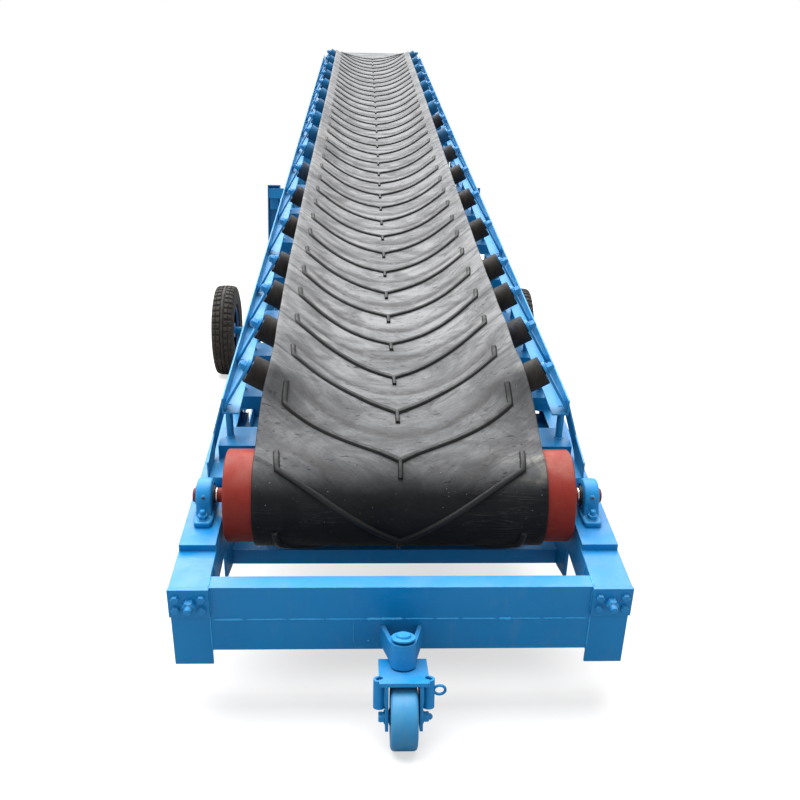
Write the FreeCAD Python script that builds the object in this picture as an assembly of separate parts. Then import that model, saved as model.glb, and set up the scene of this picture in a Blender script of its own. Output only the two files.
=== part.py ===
"""Mobile belt conveyor: inclined side trusses, troughed chevron belt, caster at the tail and a
two-wheel lifting undercarriage.

Lengths are in millimetres. Two frames are used. The machine frame stands on the ground: x to the
right, y from tail to head, z up. The belt frame lies along the slope: x to the right, u up the
slope from the tail drum's axis, v square to the slope. on_slope() carries a solid from the belt
frame into the machine frame.
"""
import FreeCAD, Part
import math
import os

Vector = FreeCAD.Vector

# ---------------------------------------------------------------- overall
incline = 16.2                 # slope of the belt, degrees
tail_axis_height = 515.0       # tail drum's axis above the ground
drum_centres = 9200.0          # tail drum axis to head drum axis, along the slope
axle_from_tail = 5595.0        # wheel axis from the tail drum axis, along the ground
track_outside = 2680.0         # over the outer faces of the two tyres

# ---------------------------------------------------------------- belt and rollers
belt_width = 800.0
belt_thickness = 10.0
drum_radius = 130.0
drum_face = 956.0
shaft_radius = 20.0
roller_radius = 44.5
roller_spindle_radius = 10.0
centre_roller_face = 315.0
wing_roller_face = 285.0
trough_angle = 30.0            # wing rollers above the centre roller, degrees
trough_rise = 20.0             # centre of the trough above the top of the drums
roller_end_gap = 10.0          # centre roller's end to the wing roller's end
first_idler = 290.0            # first idler set from the tail drum axis
loading_pitch = 335.0          # idler spacing under the loading zone
carrying_pitch = 525.0         # idler spacing further up
loading_sets = 4
last_idler_gap = 1075.0        # least room between the last idler set and the head drum axis
return_sets = 4
return_roller_half = 475.0
belt_rest = 0.3                # room between the belt and what it runs on

# ---------------------------------------------------------------- side trusses
chord_outside = 558.0          # outer face of the middle and bottom chords
top_chord_outside = 522.0      # outer face of the top chords, from the centre line
chord_leg = 50.0               # angle section of the top and middle chords
chord_thickness = 5.0
top_chord_top = 170.0          # v of the top chord's upper edge
plate_top = 30.0               # v of the idler cross channels' upper face
cross_channel_width = 120.0
cross_channel_depth = 48.0
cross_channel_wall = 6.0
cross_channel_half = 535.0     # end of the channels from the centre line
bottom_chord_face = -420.0     # v of the bottom chord's lower face
bottom_leg = 63.0
bottom_thickness = 6.0
truss_start = 620.0            # u where the bottom chord begins
truss_overlap = 200.0          # bottom chord past the head plates' start
top_chord_start = 262.0        # u where the top chord begins
middle_chord_start = 125.0     # u where the middle chord and the end straps begin
middle_chord_overlap = 60.0    # middle chord past the head plates' start
strap_outside = 554.0          # outer face of the end straps at the middle chord
strap_thickness = 5.0
post_radius = 11.0
post_inset = 16.5              # post axis inside the top chord's outer face
bracing_leg = 40.0
bracing_thickness = 4.0

# ---------------------------------------------------------------- tail frame
tail_half_width = 592.0        # outer faces of the side beams
side_beam_width = 100.0
side_beam_depth = 100.0
side_beam_wall = 6.0
side_beam_end = 640.0          # u where the side beams end under the truss
front_face = -331.0            # u of the tail cross beam's front face
cross_beam_channel = 100.0     # height of each of its two stacked channels
cross_beam_flange = 48.0
cross_beam_web = 6.0
cross_beam_rim = 8.0
leg_reach = 47.0               # legs below the cross beam
end_plate_height = 85.0
end_plate_thickness = 10.0
end_bolt_pitch = (66.0, 34.0)
end_bolt_radius = 7.0
rear_beam_front = 89.0         # u of the rear cross beam's front face
rear_beam_height = 50.0
rear_beam_flange = 45.0
rear_beam_bottom = -300.0
hanger_thickness = 8.0
slide_start = -171.0           # u of the slide plates' front lip
slide_end = 120.0
slide_thickness = 10.0
slide_lip = 19.0
screw_radius = 10.0
screw_drop = 43.0              # take-up screw below the side beams' upper face
bearing_height = 49.2          # shaft centre above the pillow block's foot
bearing_length = 184.0
bearing_width = 54.0
bearing_offset = 540.0         # bearing centre from the centre line

# ---------------------------------------------------------------- head frame
head_plate_thickness = 10.0
head_plate_inside = 498.0
head_plate_reach = 500.0       # head plates reach this far down the slope from the drum axis
terminal_box_size = (60.0, 120.0, 90.0)

# ---------------------------------------------------------------- caster
caster_wheel_radius = 80.0
caster_wheel_width = 66.0
caster_axis_y = -442.0         # wheel axis from the tail drum axis
caster_pivot_y = -383.0        # swivel axis
swivel_radius = 32.0
fork_plate_thickness = 10.0
fork_cheek_thickness = 8.0
fork_inside = 76.0
sleeve_bore = 9.0              # bore of the tow sleeves, radius

# ---------------------------------------------------------------- undercarriage
tyre_radius = 381.0
tyre_width = 184.0
rim_radius = 205.0
hub_radius = 70.0
axle_beam = (120.0, 100.0)     # along y and z
axle_beam_half = 960.0
stub_radius = 30.0
upright_outside = 893.0
upright_width = 103.0
upright_depth = 60.0
upright_wall = 8.0
upright_top = 1600.0
lift_beam_side = 80.0
lift_beam_top = 1570.0
pivot_height = 1635.0
pivot_offset = 526.0           # pivot lugs from the centre line
pin_radius = 16.0
cylinder_offset = 640.0
cylinder_radius = 38.0
cylinder_bore = 27.0
rod_radius = 20.0
running_gap = 0.5
lift_down = 400.0              # travel below the stored height

# ---------------------------------------------------------------- values that follow
belt_outer = drum_radius + belt_thickness
trough_top = belt_outer + trough_rise
roller_axis = trough_top - belt_thickness - roller_radius - belt_rest
wing = math.radians(trough_angle)
slope = math.radians(incline)
inner_face = tail_half_width - side_beam_width
side_beam_top = plate_top - cross_channel_depth - chord_leg
axle_y = axle_from_tail
tyre_centre = track_outside / 2 - tyre_width / 2
upright_front = axle_y + 15.0
lift_y = upright_front - 8.0 - lift_beam_side / 2
idlers = [first_idler + loading_pitch * i for i in range(loading_sets)]
while idlers[-1] + carrying_pitch <= drum_centres - last_idler_gap:
    idlers.append(idlers[-1] + carrying_pitch)
full_trough = (idlers[0] - roller_radius, idlers[-1] + roller_radius)
ledge = top_chord_top - chord_leg + chord_thickness
head_plate_start = drum_centres - head_plate_reach
truss_end = head_plate_start + truss_overlap

shapes = {}


# ---------------------------------------------------------------- ways of making solids
def box(x, u, v):
    """Box between the two values given for each direction."""
    low = Vector(min(x), min(u), min(v))
    return Part.makeBox(abs(x[1] - x[0]), abs(u[1] - u[0]), abs(v[1] - v[0]), low)


def prism(axis, span, outline):
    """Bar along x, y or z with the outline given in the other two directions, in order."""
    order = {"x": (1, 2), "y": (0, 2), "z": (0, 1)}[axis]
    along = "xyz".index(axis)
    points = []
    for a, b in outline:
        place = [0.0, 0.0, 0.0]
        place[along], place[order[0]], place[order[1]] = span[0], a, b
        points.append(Vector(*place))
    push = [0.0, 0.0, 0.0]
    push[along] = span[1] - span[0]
    return Part.Face(Part.makePolygon(points + points[:1])).extrude(Vector(*push))


def bar(start, end, radius):
    """Round bar between two points."""
    a, b = Vector(*start), Vector(*end)
    return Part.makeCylinder(radius, (b - a).Length, a, b - a)


def pipe(start, end, outer, inner):
    """Round tube between two points."""
    return bar(start, end, outer).cut(bar(start, end, inner))


def turned(outline, centre):
    """Solid of revolution about a line along x; the outline gives (x, radius) pairs."""
    points = [Vector(x, r, 0) for x, r in outline]
    face = Part.Face(Part.makePolygon(points + points[:1]))
    solid = face.revolve(Vector(0, 0, 0), Vector(1, 0, 0), 360)
    solid.translate(Vector(*centre))
    return solid


def angle_outline(corner, leg, thickness, turn):
    """Angle section: its heel at corner, its legs running towards turn in both directions."""
    a, b = corner
    p, q = turn
    steps = [(0, 0), (leg, 0), (leg, thickness), (thickness, thickness), (thickness, leg), (0, leg)]
    return [(a + p * i, b + q * j) for i, j in steps]


def channel_outline(start, height, flange, web, rim, opening):
    """Channel section: web on the line through start, flanges running towards opening."""
    a, b = start
    steps = [(0, 0), (flange, 0), (flange, rim), (web, rim), (web, height - rim),
             (flange, height - rim), (flange, height), (0, height)]
    return [(a + opening * i, b + j) for i, j in steps]


def mirrored(solid):
    """The same solid on the other side of the centre line."""
    return solid.mirror(Vector(0, 0, 0), Vector(1, 0, 0))


def joined(solids):
    """One solid out of pieces that meet."""
    whole = solids[0]
    if len(solids) > 1:
        whole = solids[0].multiFuse(solids[1:])
    return whole.removeSplitter()


def on_slope(shape):
    """Carry a shape from the belt frame into the machine frame."""
    placed = shape.copy()
    placed.rotate(Vector(0, 0, 0), Vector(1, 0, 0), incline)
    placed.translate(Vector(0, 0, tail_axis_height))
    return placed


def slope_point(u, v):
    """Machine y and z of a point of the belt frame."""
    y = u * math.cos(slope) - v * math.sin(slope)
    z = tail_axis_height + u * math.sin(slope) + v * math.cos(slope)
    return y, z


def keep(name, *solids, sloped=True):
    """Store a node made of one or more solids that don't touch."""
    whole = solids[0] if len(solids) == 1 else Part.makeCompound(list(solids))
    shapes[name] = on_slope(whole) if sloped else whole


def keep_pair(name, solid, sloped=True):
    """Store a node of two solids, one each side."""
    keep(name, solid, mirrored(solid), sloped=sloped)


def keep_sides(name, solid, sloped=True):
    """Store one node for each side: name_left and name_right."""
    keep(name + "_right", solid, sloped=sloped)
    keep(name + "_left", mirrored(solid), sloped=sloped)


# ---------------------------------------------------------------- tail frame
def tail_frame():
    """Two stacked channels across the tail, side beams, legs, end plates and rear beam."""
    beam_bottom = side_beam_top - 2 * cross_beam_channel
    channels = []
    for level in (0, 1):
        outline = channel_outline((front_face, beam_bottom + level * cross_beam_channel),
                                  cross_beam_channel, cross_beam_flange, cross_beam_web,
                                  cross_beam_rim, 1)
        channels.append(prism("x", (-inner_face, inner_face), outline))
    keep("tail_cross_beam", joined(channels))

    leg_bottom = beam_bottom - leg_reach
    leg = box((inner_face, tail_half_width), (front_face, front_face + side_beam_width),
              (leg_bottom, side_beam_top))
    hollow = box((inner_face - 1, tail_half_width - side_beam_wall),
                 (front_face + side_beam_wall, front_face + side_beam_width - side_beam_wall),
                 (leg_bottom - 1, beam_bottom - 10))
    leg = leg.cut(hollow)

    start = front_face + side_beam_width
    beam = box((inner_face, tail_half_width), (start, side_beam_end),
               (side_beam_top - side_beam_depth, side_beam_top))
    inside = box((inner_face + side_beam_wall, tail_half_width - side_beam_wall),
                 (start - 1, side_beam_end + 1),
                 (side_beam_top - side_beam_depth + side_beam_wall, side_beam_top - side_beam_wall))
    slot = box((bearing_offset - 12, bearing_offset + 12), (slide_start + 40, slide_end - 10),
               (side_beam_top - side_beam_wall - 1, side_beam_top + 1))
    screw_hole = bar((bearing_offset, front_face - 1, side_beam_top - screw_drop),
                     (bearing_offset, start + 1, side_beam_top - screw_drop), screw_radius + 4)
    under = side_beam_top - side_beam_depth
    hanger = prism("x", (inner_face, inner_face + hanger_thickness),
                   [(rear_beam_front - 109, under), (rear_beam_front + 70, under),
                    (rear_beam_front + rear_beam_flange + 5, rear_beam_bottom),
                    (rear_beam_front - 9, rear_beam_bottom), (rear_beam_front - 109, rear_beam_bottom + 30)])
    keep_pair("tail_side_frames", joined([leg, beam.cut(inside).cut(slot), hanger]).cut(screw_hole))

    plate = box((inner_face - 2, tail_half_width + 2), (front_face - end_plate_thickness, front_face),
                (side_beam_top - end_plate_height, side_beam_top))
    middle = (tail_half_width + inner_face) / 2
    screw_v = side_beam_top - screw_drop
    for side in (-1, 1):
        for rise in (-1, 1):
            x = middle + side * end_bolt_pitch[0] / 2
            v = screw_v + rise * end_bolt_pitch[1] / 2
            plate = plate.cut(bar((x, front_face - end_plate_thickness - 1, v), (x, front_face + 1, v),
                                  end_bolt_radius))
    plate = plate.cut(bar((bearing_offset, front_face - end_plate_thickness - 1, screw_v),
                          (bearing_offset, front_face + 1, screw_v), screw_radius + running_gap))
    keep_pair("tail_end_plates", plate)

    outline = channel_outline((rear_beam_front, rear_beam_bottom), rear_beam_height, rear_beam_flange,
                              cross_beam_web, cross_beam_rim, 1)
    keep("tail_rear_beam", prism("x", (-inner_face, inner_face), outline))


def take_up():
    """Slide plates that carry the tail bearings, and the screws that push them back."""
    foot = -bearing_height
    plate = box((inner_face + 1, tail_half_width - 1), (slide_start, slide_end),
                (foot - slide_thickness, foot))
    lip = box((inner_face + 1, tail_half_width - 1), (slide_start, slide_start + 8),
              (side_beam_top, foot))
    rails = box((inner_face + 1, tail_half_width - 1), (slide_start, slide_end),
                (side_beam_top, foot - slide_thickness))
    screw_v = side_beam_top - screw_drop
    lug = box((bearing_offset - 10, bearing_offset + 10), (slide_start + 45, slide_start + 75),
              (screw_v - 25, foot - slide_thickness))
    bore = bar((bearing_offset, slide_start, screw_v), (bearing_offset, 0, screw_v),
               screw_radius + running_gap)
    keep_pair("take_up_slides", joined([plate, lip, rails, lug]).cut(bore))
    screw = bar((bearing_offset, front_face - 45, screw_v), (bearing_offset, slide_start + 90, screw_v),
                screw_radius)
    nut = prism("y", (front_face - end_plate_thickness - 18, front_face - end_plate_thickness),
                [(bearing_offset + 17 * math.cos(math.radians(60 * k)),
                  screw_v + 17 * math.sin(math.radians(60 * k))) for k in range(6)])
    keep_pair("take_up_screws", joined([screw, nut]))


def pillow_block():
    """Pillow block bearing: rounded housing on a foot with a bolt boss at each end."""
    half, wide, foot = bearing_length / 2, bearing_width / 2, -bearing_height
    x = bearing_offset
    base = box((x - wide, x + wide), (-half, half), (foot, foot + 18))
    housing = bar((x - wide + 6, 0, 0), (x + wide - 6, 0, 0), bearing_height)
    web = prism("x", (x - wide + 8, x + wide - 8),
                [(-half * 0.62, foot + 1), (half * 0.62, foot + 1), (bearing_height * 0.8, 10),
                 (-bearing_height * 0.8, 10)])
    ring = bar((x - wide, 0, 0), (x + wide, 0, 0), bearing_height * 0.66)
    body = joined([base, housing, web, ring])
    body = body.cut(bar((x - 60, 0, 0), (x + 60, 0, 0), shaft_radius))
    below = box((x - 80, x + 80), (-200, 200), (foot - 100, foot))
    body = body.cut(below)
    for end in (-1, 1):
        spot = end * (half - 24)
        body = body.cut(bar((x, spot, foot - 1), (x, spot, foot + 40), 8.5))
    keep_sides("tail_bearing", body)


def tail_drum():
    """Steel drum with end discs on a through shaft."""
    half = drum_face / 2
    shell = turned([(-half, 0), (-half, drum_radius), (half, drum_radius), (half, 0)], (0, 0, 0))
    for side in (-1, 1):
        rim = Part.makeCylinder(drum_radius - 12, 20, Vector(side * (half - 20), 0, 0), Vector(side, 0, 0))
        shell = shell.cut(rim)
    shaft = bar((-bearing_offset - 35, 0, 0), (bearing_offset + 35, 0, 0), shaft_radius)
    keep("tail_drum", joined([shell, shaft]))


# ---------------------------------------------------------------- side trusses
def chords():
    """Top, middle and bottom chord of each side, in angle section, with the end straps."""
    heel = top_chord_top - chord_leg
    top = prism("y", (top_chord_start, head_plate_start),
                angle_outline((top_chord_outside, heel), chord_leg, chord_thickness, (-1, 1)))
    keep_sides("top_chord", joined([top, end_strap()] + posts()))

    middle_top = plate_top - cross_channel_depth
    middle = prism("y", (middle_chord_start, head_plate_start + middle_chord_overlap),
                   angle_outline((chord_outside, middle_top), chord_leg, chord_thickness, (-1, -1)))
    keep_sides("middle_chord", middle)

    bottom = prism("y", (truss_start, truss_end),
                   angle_outline((chord_outside, bottom_chord_face), bottom_leg, bottom_thickness,
                                 (-1, 1)))
    keep_sides("bottom_chord", bottom)


def end_strap():
    """Flat that rises from the middle chord's end to the top chord's end."""
    foot = plate_top - cross_channel_depth
    stations = [(middle_chord_start, strap_outside, foot, foot + 50),
                (middle_chord_start + 105, strap_outside, foot, foot + 66),
                (top_chord_start, strap_outside, foot + 20, foot + 72),
                (top_chord_start + 48, top_chord_outside, ledge - chord_thickness, top_chord_top)]
    wires = []
    for u, x, low, high in stations:
        points = [Vector(x, u, low), Vector(x, u, high), Vector(x - strap_thickness, u, high),
                  Vector(x - strap_thickness, u, low)]
        wires.append(Part.makePolygon(points + points[:1]))
    return Part.makeLoft(wires, True, True)


def bracing():
    """Upright angles and diagonals between the middle and the bottom chord of each side."""
    face = chord_outside
    low = bottom_chord_face + bottom_thickness
    high = plate_top - cross_channel_depth - chord_thickness
    stations = [truss_start + bracing_leg] + idlers[loading_sets - 1:] + [truss_end - bracing_leg]
    inside = face - bottom_thickness
    solids = []
    for u in stations:
        solids.append(prism("z", (low, high), angle_outline((inside, u - bracing_leg / 2),
                                                            bracing_leg, bracing_thickness, (-1, 1))))
    diagonals = []
    gap = 2.0
    for index, (u0, u1) in enumerate(zip(stations[:-1], stations[1:])):
        a = u0 - bracing_leg / 2 + bracing_leg + gap
        b = u1 - bracing_leg / 2 - gap
        if index % 2:
            ends = [(a, high), (a + bracing_leg, high), (b, low + bracing_leg * 0.7), (b, low),
                    (b - bracing_leg, low), (a, high - bracing_leg * 0.7)]
        else:
            ends = [(a, low), (a + bracing_leg, low), (b, high - bracing_leg * 0.7), (b, high),
                    (b - bracing_leg, high), (a, low + bracing_leg * 0.7)]
        diagonals.append(prism("x", (inside - bracing_thickness, inside), ends))
    keep_sides("side_bracing", Part.makeCompound(solids + diagonals))


def posts():
    """Round posts that hold the top chord above the ends of the idler cross channels."""
    x = top_chord_outside - post_inset
    return [bar((x, u, plate_top), (x, u, ledge - chord_thickness / 2), post_radius) for u in idlers]


def cross_members():
    """Channels across the trusses under each idler set with the idler stands, and bottom ties."""
    wall = cross_channel_wall
    channels, ties = [], []
    low = plate_top - cross_channel_depth
    for u in idlers:
        outline = [(u - cross_channel_width / 2, low), (u - cross_channel_width / 2, plate_top),
                   (u + cross_channel_width / 2, plate_top), (u + cross_channel_width / 2, low),
                   (u + cross_channel_width / 2 - wall, low),
                   (u + cross_channel_width / 2 - wall, plate_top - wall),
                   (u - cross_channel_width / 2 + wall, plate_top - wall),
                   (u - cross_channel_width / 2 + wall, low)]
        channel = prism("x", (-cross_channel_half, cross_channel_half), outline)
        channels.append(joined([channel, inner_stand(u), mirrored(inner_stand(u))]))
    keep("idler_cross_channels", *channels)
    stations = idlers[loading_sets - 1::2]
    inside = chord_outside - bottom_thickness - bracing_thickness
    for u in stations:
        ties.append(prism("x", (-inside, inside),
                          angle_outline((u + bracing_leg / 2 + 4, bottom_chord_face + bottom_thickness),
                                        bracing_leg, bracing_thickness, (1, 1))))
    keep("bottom_ties", *ties)


# ---------------------------------------------------------------- rollers
def wing_point(along, off=0.0):
    """x and v of a point on a wing roller's axis, off to the belt's side of it."""
    corner = centre_roller_face / 2 + belt_thickness * math.tan(wing / 2)
    depth = roller_radius + belt_rest
    x = corner + depth * math.sin(wing) + along * math.cos(wing) - off * math.sin(wing)
    v = trough_top - belt_thickness - depth * math.cos(wing)
    v += along * math.sin(wing) + off * math.cos(wing)
    return x, v


def roller(start, end, radius, spindle, reach):
    """Roller with a stepped spindle: one turned solid between two points."""
    a, b = Vector(*start), Vector(*end)
    axis = (b - a).normalize()
    body = Part.makeCylinder(radius, (b - a).Length, a, axis)
    pin = Part.makeCylinder(spindle, (b - a).Length + 2 * reach, a - axis * reach, axis)
    return body.fuse(pin).removeSplitter()


def idler_rollers():
    """Centre and wing rollers of each set, with their stands and brackets."""
    centres, wings, brackets = [], [], []
    half = centre_roller_face / 2
    for u in idlers:
        centres.append(roller((-half, u, roller_axis), (half, u, roller_axis), roller_radius,
                              roller_spindle_radius, 9))
    wing_spindle = 2 * roller_end_gap
    for u in idlers:
        a, b = wing_point(roller_end_gap), wing_point(roller_end_gap + wing_roller_face)
        wings.append(roller((a[0], u, a[1]), (b[0], u, b[1]), roller_radius,
                            roller_spindle_radius, wing_spindle))
        brackets.append(wing_bracket(u))
    keep("centre_rollers", *centres)
    keep_sides("wing_rollers", Part.makeCompound(wings))
    keep_sides("wing_brackets", Part.makeCompound(brackets))


def inner_stand(u):
    """Stand on the cross channel that holds the centre roller's end and a wing roller's inner end."""
    half = centre_roller_face / 2
    slot = roller_spindle_radius + running_gap
    inner = box((half + 1.5, half + 7.5), (u - 25, u + 25), (plate_top, roller_axis + 14))
    inner = inner.cut(box((half, half + 9), (u - slot, u + slot), (roller_axis - slot, roller_axis + 20)))
    x, v = wing_point(roller_end_gap)
    outer = box((half + 12.5, half + 18.5), (u - 25, u + 25), (plate_top, v + 10))
    end = wing_point(-roller_end_gap * 3)
    outer = outer.cut(bar((x, u, v), (end[0], u, end[1]), slot))
    foot = box((half + 1.5, half + 48), (u - 25, u + 25), (plate_top, plate_top + 6))
    return joined([inner, outer, foot])


def wing_bracket(u):
    """Bracket from the top chord to a wing roller's outer end, square to the roller's axis."""
    thick, wide = 8.0, 50.0
    along = roller_end_gap + wing_roller_face + 3.0
    top = wing_point(along)
    drop = (top[1] - ledge) / math.cos(wing) + 30
    solid = Part.makeBox(thick, wide, drop, Vector(0, u - wide / 2, -drop))
    solid = solid.fuse(bar((0, u, 0), (thick, u, 0), wide / 2))
    solid = solid.cut(bar((-1, u, 0), (thick + 1, u, 0), roller_spindle_radius + running_gap))
    solid.rotate(Vector(0, 0, 0), Vector(0, 1, 0), -trough_angle)
    solid.translate(Vector(top[0], 0, top[1]))
    return solid.common(box((0, top_chord_outside - chord_thickness), (u - 60, u + 60),
                            (ledge, ledge + 400)))


def return_rollers():
    """Flat rollers that carry the belt back underneath, hung on strap hangers."""
    half = return_roller_half
    axis_v = -belt_outer - roller_radius - belt_rest
    hangers, rollers = [], []
    span = idlers[-1] - idlers[loading_sets - 1]
    for index in range(return_sets):
        target = idlers[loading_sets - 1] + span * (index + 0.5) / return_sets
        u = min(idlers, key=lambda place: abs(place - target)) + cross_channel_width / 2 + 60
        rollers.append(roller((-half, u, axis_v), (half, u, axis_v), roller_radius,
                              roller_spindle_radius, 14))
        for side in (-1, 1):
            under = plate_top - cross_channel_depth - chord_thickness
            strap = box((half + 5, half + 11), (u - 25, u + 25), (axis_v - 25, under))
            foot = box((half + 5, half + 50), (u - 25, u + 25), (under - 6, under))
            strap = joined([strap, foot])
            strap = strap.cut(bar((half, u, axis_v), (half + 20, u, axis_v),
                                  roller_spindle_radius + running_gap))
            hangers.append(strap if side > 0 else mirrored(strap))
    keep("return_rollers", *rollers)
    keep("return_hangers", *hangers)


# ---------------------------------------------------------------- belt
def belt_section(u, share):
    """Closed outline of the carrying belt at u; share is how far it is troughed."""
    half = belt_width / 2
    flat = centre_roller_face / 2
    arm = half - flat
    lift = math.radians(trough_angle * share)
    top = belt_outer + trough_rise * share
    upper = [(-flat - arm * math.cos(lift), top + arm * math.sin(lift)), (-flat, top), (flat, top),
             (flat + arm * math.cos(lift), top + arm * math.sin(lift))]
    lower = [(flat + arm * math.cos(lift) + belt_thickness * math.sin(lift),
              top + arm * math.sin(lift) - belt_thickness * math.cos(lift)),
             (flat + belt_thickness * math.tan(lift / 2), top - belt_thickness),
             (-flat - belt_thickness * math.tan(lift / 2), top - belt_thickness),
             (-flat - arm * math.cos(lift) - belt_thickness * math.sin(lift),
              top + arm * math.sin(lift) - belt_thickness * math.cos(lift))]
    lower = [(x, v - belt_rest * (share - 1)) for x, v in lower]
    points = [Vector(x, u, v) for x, v in upper + lower]
    return Part.makePolygon(points + points[:1])


def belt():
    """The endless belt: troughed carrying run, flat return run, half a turn on each drum."""
    half = belt_width / 2
    places = [(0.0, 0.0), (full_trough[0], 1.0), (full_trough[1], 1.0), (drum_centres, 0.0)]
    runs = []
    for (u0, s0), (u1, s1) in zip(places[:-1], places[1:]):
        runs.append(Part.makeLoft([belt_section(u0, s0), belt_section(u1, s1)], True, True))
    runs.append(box((-half, half), (0, drum_centres), (-belt_outer, -drum_radius - belt_rest)))
    for centre, side in ((0.0, -1), (drum_centres, 1)):
        ring = pipe((-half, centre, 0), (half, centre, 0), belt_outer, drum_radius + belt_rest)
        wrap = box((-half - 1, half + 1), (centre, centre + side * 300), (-300, 300))
        runs.append(ring.common(wrap))
    keep("belt", joined(runs))


# ---------------------------------------------------------------- head frame
def head_frame():
    """Head plates with the motor drum between them and its terminal box outside."""
    inside = head_plate_inside
    outside = inside + head_plate_thickness
    plate = prism("x", (inside, outside),
                  [(head_plate_start, bottom_chord_face + bottom_thickness),
                   (head_plate_start + 120, bottom_chord_face + bottom_thickness),
                   (drum_centres + 60, -110), (drum_centres + 60, 110), (head_plate_start, 150)])
    seat = bar((inside - 1, drum_centres, 0), (outside + 1, drum_centres, 0), 26)
    keep_pair("head_plates", plate.cut(seat))
    half = drum_face / 2
    shell = turned([(-half, 0), (-half, drum_radius), (half, drum_radius), (half, 0)],
                   (0, drum_centres, 0))
    stub = bar((-outside - 30, drum_centres, 0), (outside + 30, drum_centres, 0), 25.7)
    keep("head_drum", joined([shell, stub]))
    size = terminal_box_size
    case = box((outside, outside + size[0]),
               (drum_centres - 260, drum_centres - 260 + size[1]), (-size[2] / 2, size[2] / 2))
    keep("terminal_box", case)


# ---------------------------------------------------------------- caster
def caster():
    """Swivel caster under the tail cross beam: bracket, fork with sleeves, wheel and axle."""
    beam_y, _ = slope_point(front_face, side_beam_top - 2 * cross_beam_channel)
    low, high = 186.0, 250.0
    barrel = pipe((0, caster_pivot_y, low), (0, caster_pivot_y, high), swivel_radius, 16.5)
    blade = prism("z", (low + 4, high - 8),
                  [(swivel_radius - 12, caster_pivot_y), (swivel_radius - 2, caster_pivot_y - 4),
                   (72, beam_y + 60), (60, beam_y + 60)])
    blades = [blade, mirrored(blade)]
    bracket = joined([barrel] + blades)
    bracket = bracket.cut(pipe_core(low, high))
    beam_zone = box((-200, 200), (front_face, front_face + 400),
                    (side_beam_top - 2 * cross_beam_channel - 200, side_beam_top + 50))
    keep("caster_bracket", bracket.cut(on_slope(beam_zone)), sloped=False)

    plate_low = 2 * caster_wheel_radius + 12
    plate = box((-61, 61), (caster_axis_y - 30, caster_pivot_y + 45),
                (plate_low, plate_low + fork_plate_thickness))
    inner = fork_inside / 2
    cheek = prism("x", (inner, inner + fork_cheek_thickness),
                  [(caster_axis_y - 28, caster_wheel_radius - 24), (caster_axis_y + 28, caster_wheel_radius - 24),
                   (caster_pivot_y + 40, plate_low), (caster_axis_y - 28, plate_low)])
    cheek = cheek.cut(bar((inner - 1, caster_axis_y, caster_wheel_radius),
                          (inner + 20, caster_axis_y, caster_wheel_radius), 10.3))
    sleeve_x = inner + fork_cheek_thickness + 14
    sleeve = pipe((sleeve_x, caster_axis_y, plate_low - 66), (sleeve_x, caster_axis_y, plate_low + 8),
                  15, sleeve_bore)
    link = box((inner + fork_cheek_thickness - 1, sleeve_x - 10), (caster_axis_y - 8, caster_axis_y + 8),
               (plate_low - 60, plate_low - 2))
    kingpin = bar((0, caster_pivot_y, plate_low + 1), (0, caster_pivot_y, high + 4), 16)
    cap = bar((0, caster_pivot_y, high + 2), (0, caster_pivot_y, high + 10), 22)
    pieces = [plate, kingpin, cap]
    for solid in (cheek, sleeve, link):
        pieces += [solid, mirrored(solid)]
    loop = Part.makeTorus(14, 3.5, Vector(sleeve_x + 27, caster_axis_y, plate_low - 22), Vector(0, 1, 0.3))
    fork = joined(pieces + [loop])
    for side in (-1, 1):
        fork = fork.cut(bar((side * sleeve_x, caster_axis_y, 0), (side * sleeve_x, caster_axis_y, 400),
                            sleeve_bore))
    keep("caster_fork", fork, sloped=False)

    reach = inner + fork_cheek_thickness + 14
    axle = bar((-reach, caster_axis_y, caster_wheel_radius), (reach, caster_axis_y, caster_wheel_radius), 10)
    for side in (-1, 1):
        nut = prism("x", (side * (inner + fork_cheek_thickness), side * (inner + fork_cheek_thickness + 10)),
                    [(caster_axis_y + 16 * math.cos(math.radians(60 * k)),
                      caster_wheel_radius + 16 * math.sin(math.radians(60 * k))) for k in range(6)])
        axle = axle.fuse(nut)
    keep("caster_axle", axle.removeSplitter(), sloped=False)

    w, r = caster_wheel_width / 2, caster_wheel_radius
    hub = w + 3
    wheel = turned([(-hub, 10.3), (-hub, 22), (-w + 8, 24), (-w + 8, r - 26), (-w, r - 22), (-w, r - 6),
                    (-w + 6, r), (w - 6, r), (w, r - 6), (w, r - 22), (w - 8, r - 26), (w - 8, 24),
                    (hub, 22), (hub, 10.3)], (0, caster_axis_y, r))
    keep("caster_wheel", wheel, sloped=False)


def pipe_core(low, high):
    """The kingpin's bore through the caster bracket."""
    return bar((0, caster_pivot_y, low - 5), (0, caster_pivot_y, high + 5), 16.5)


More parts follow.
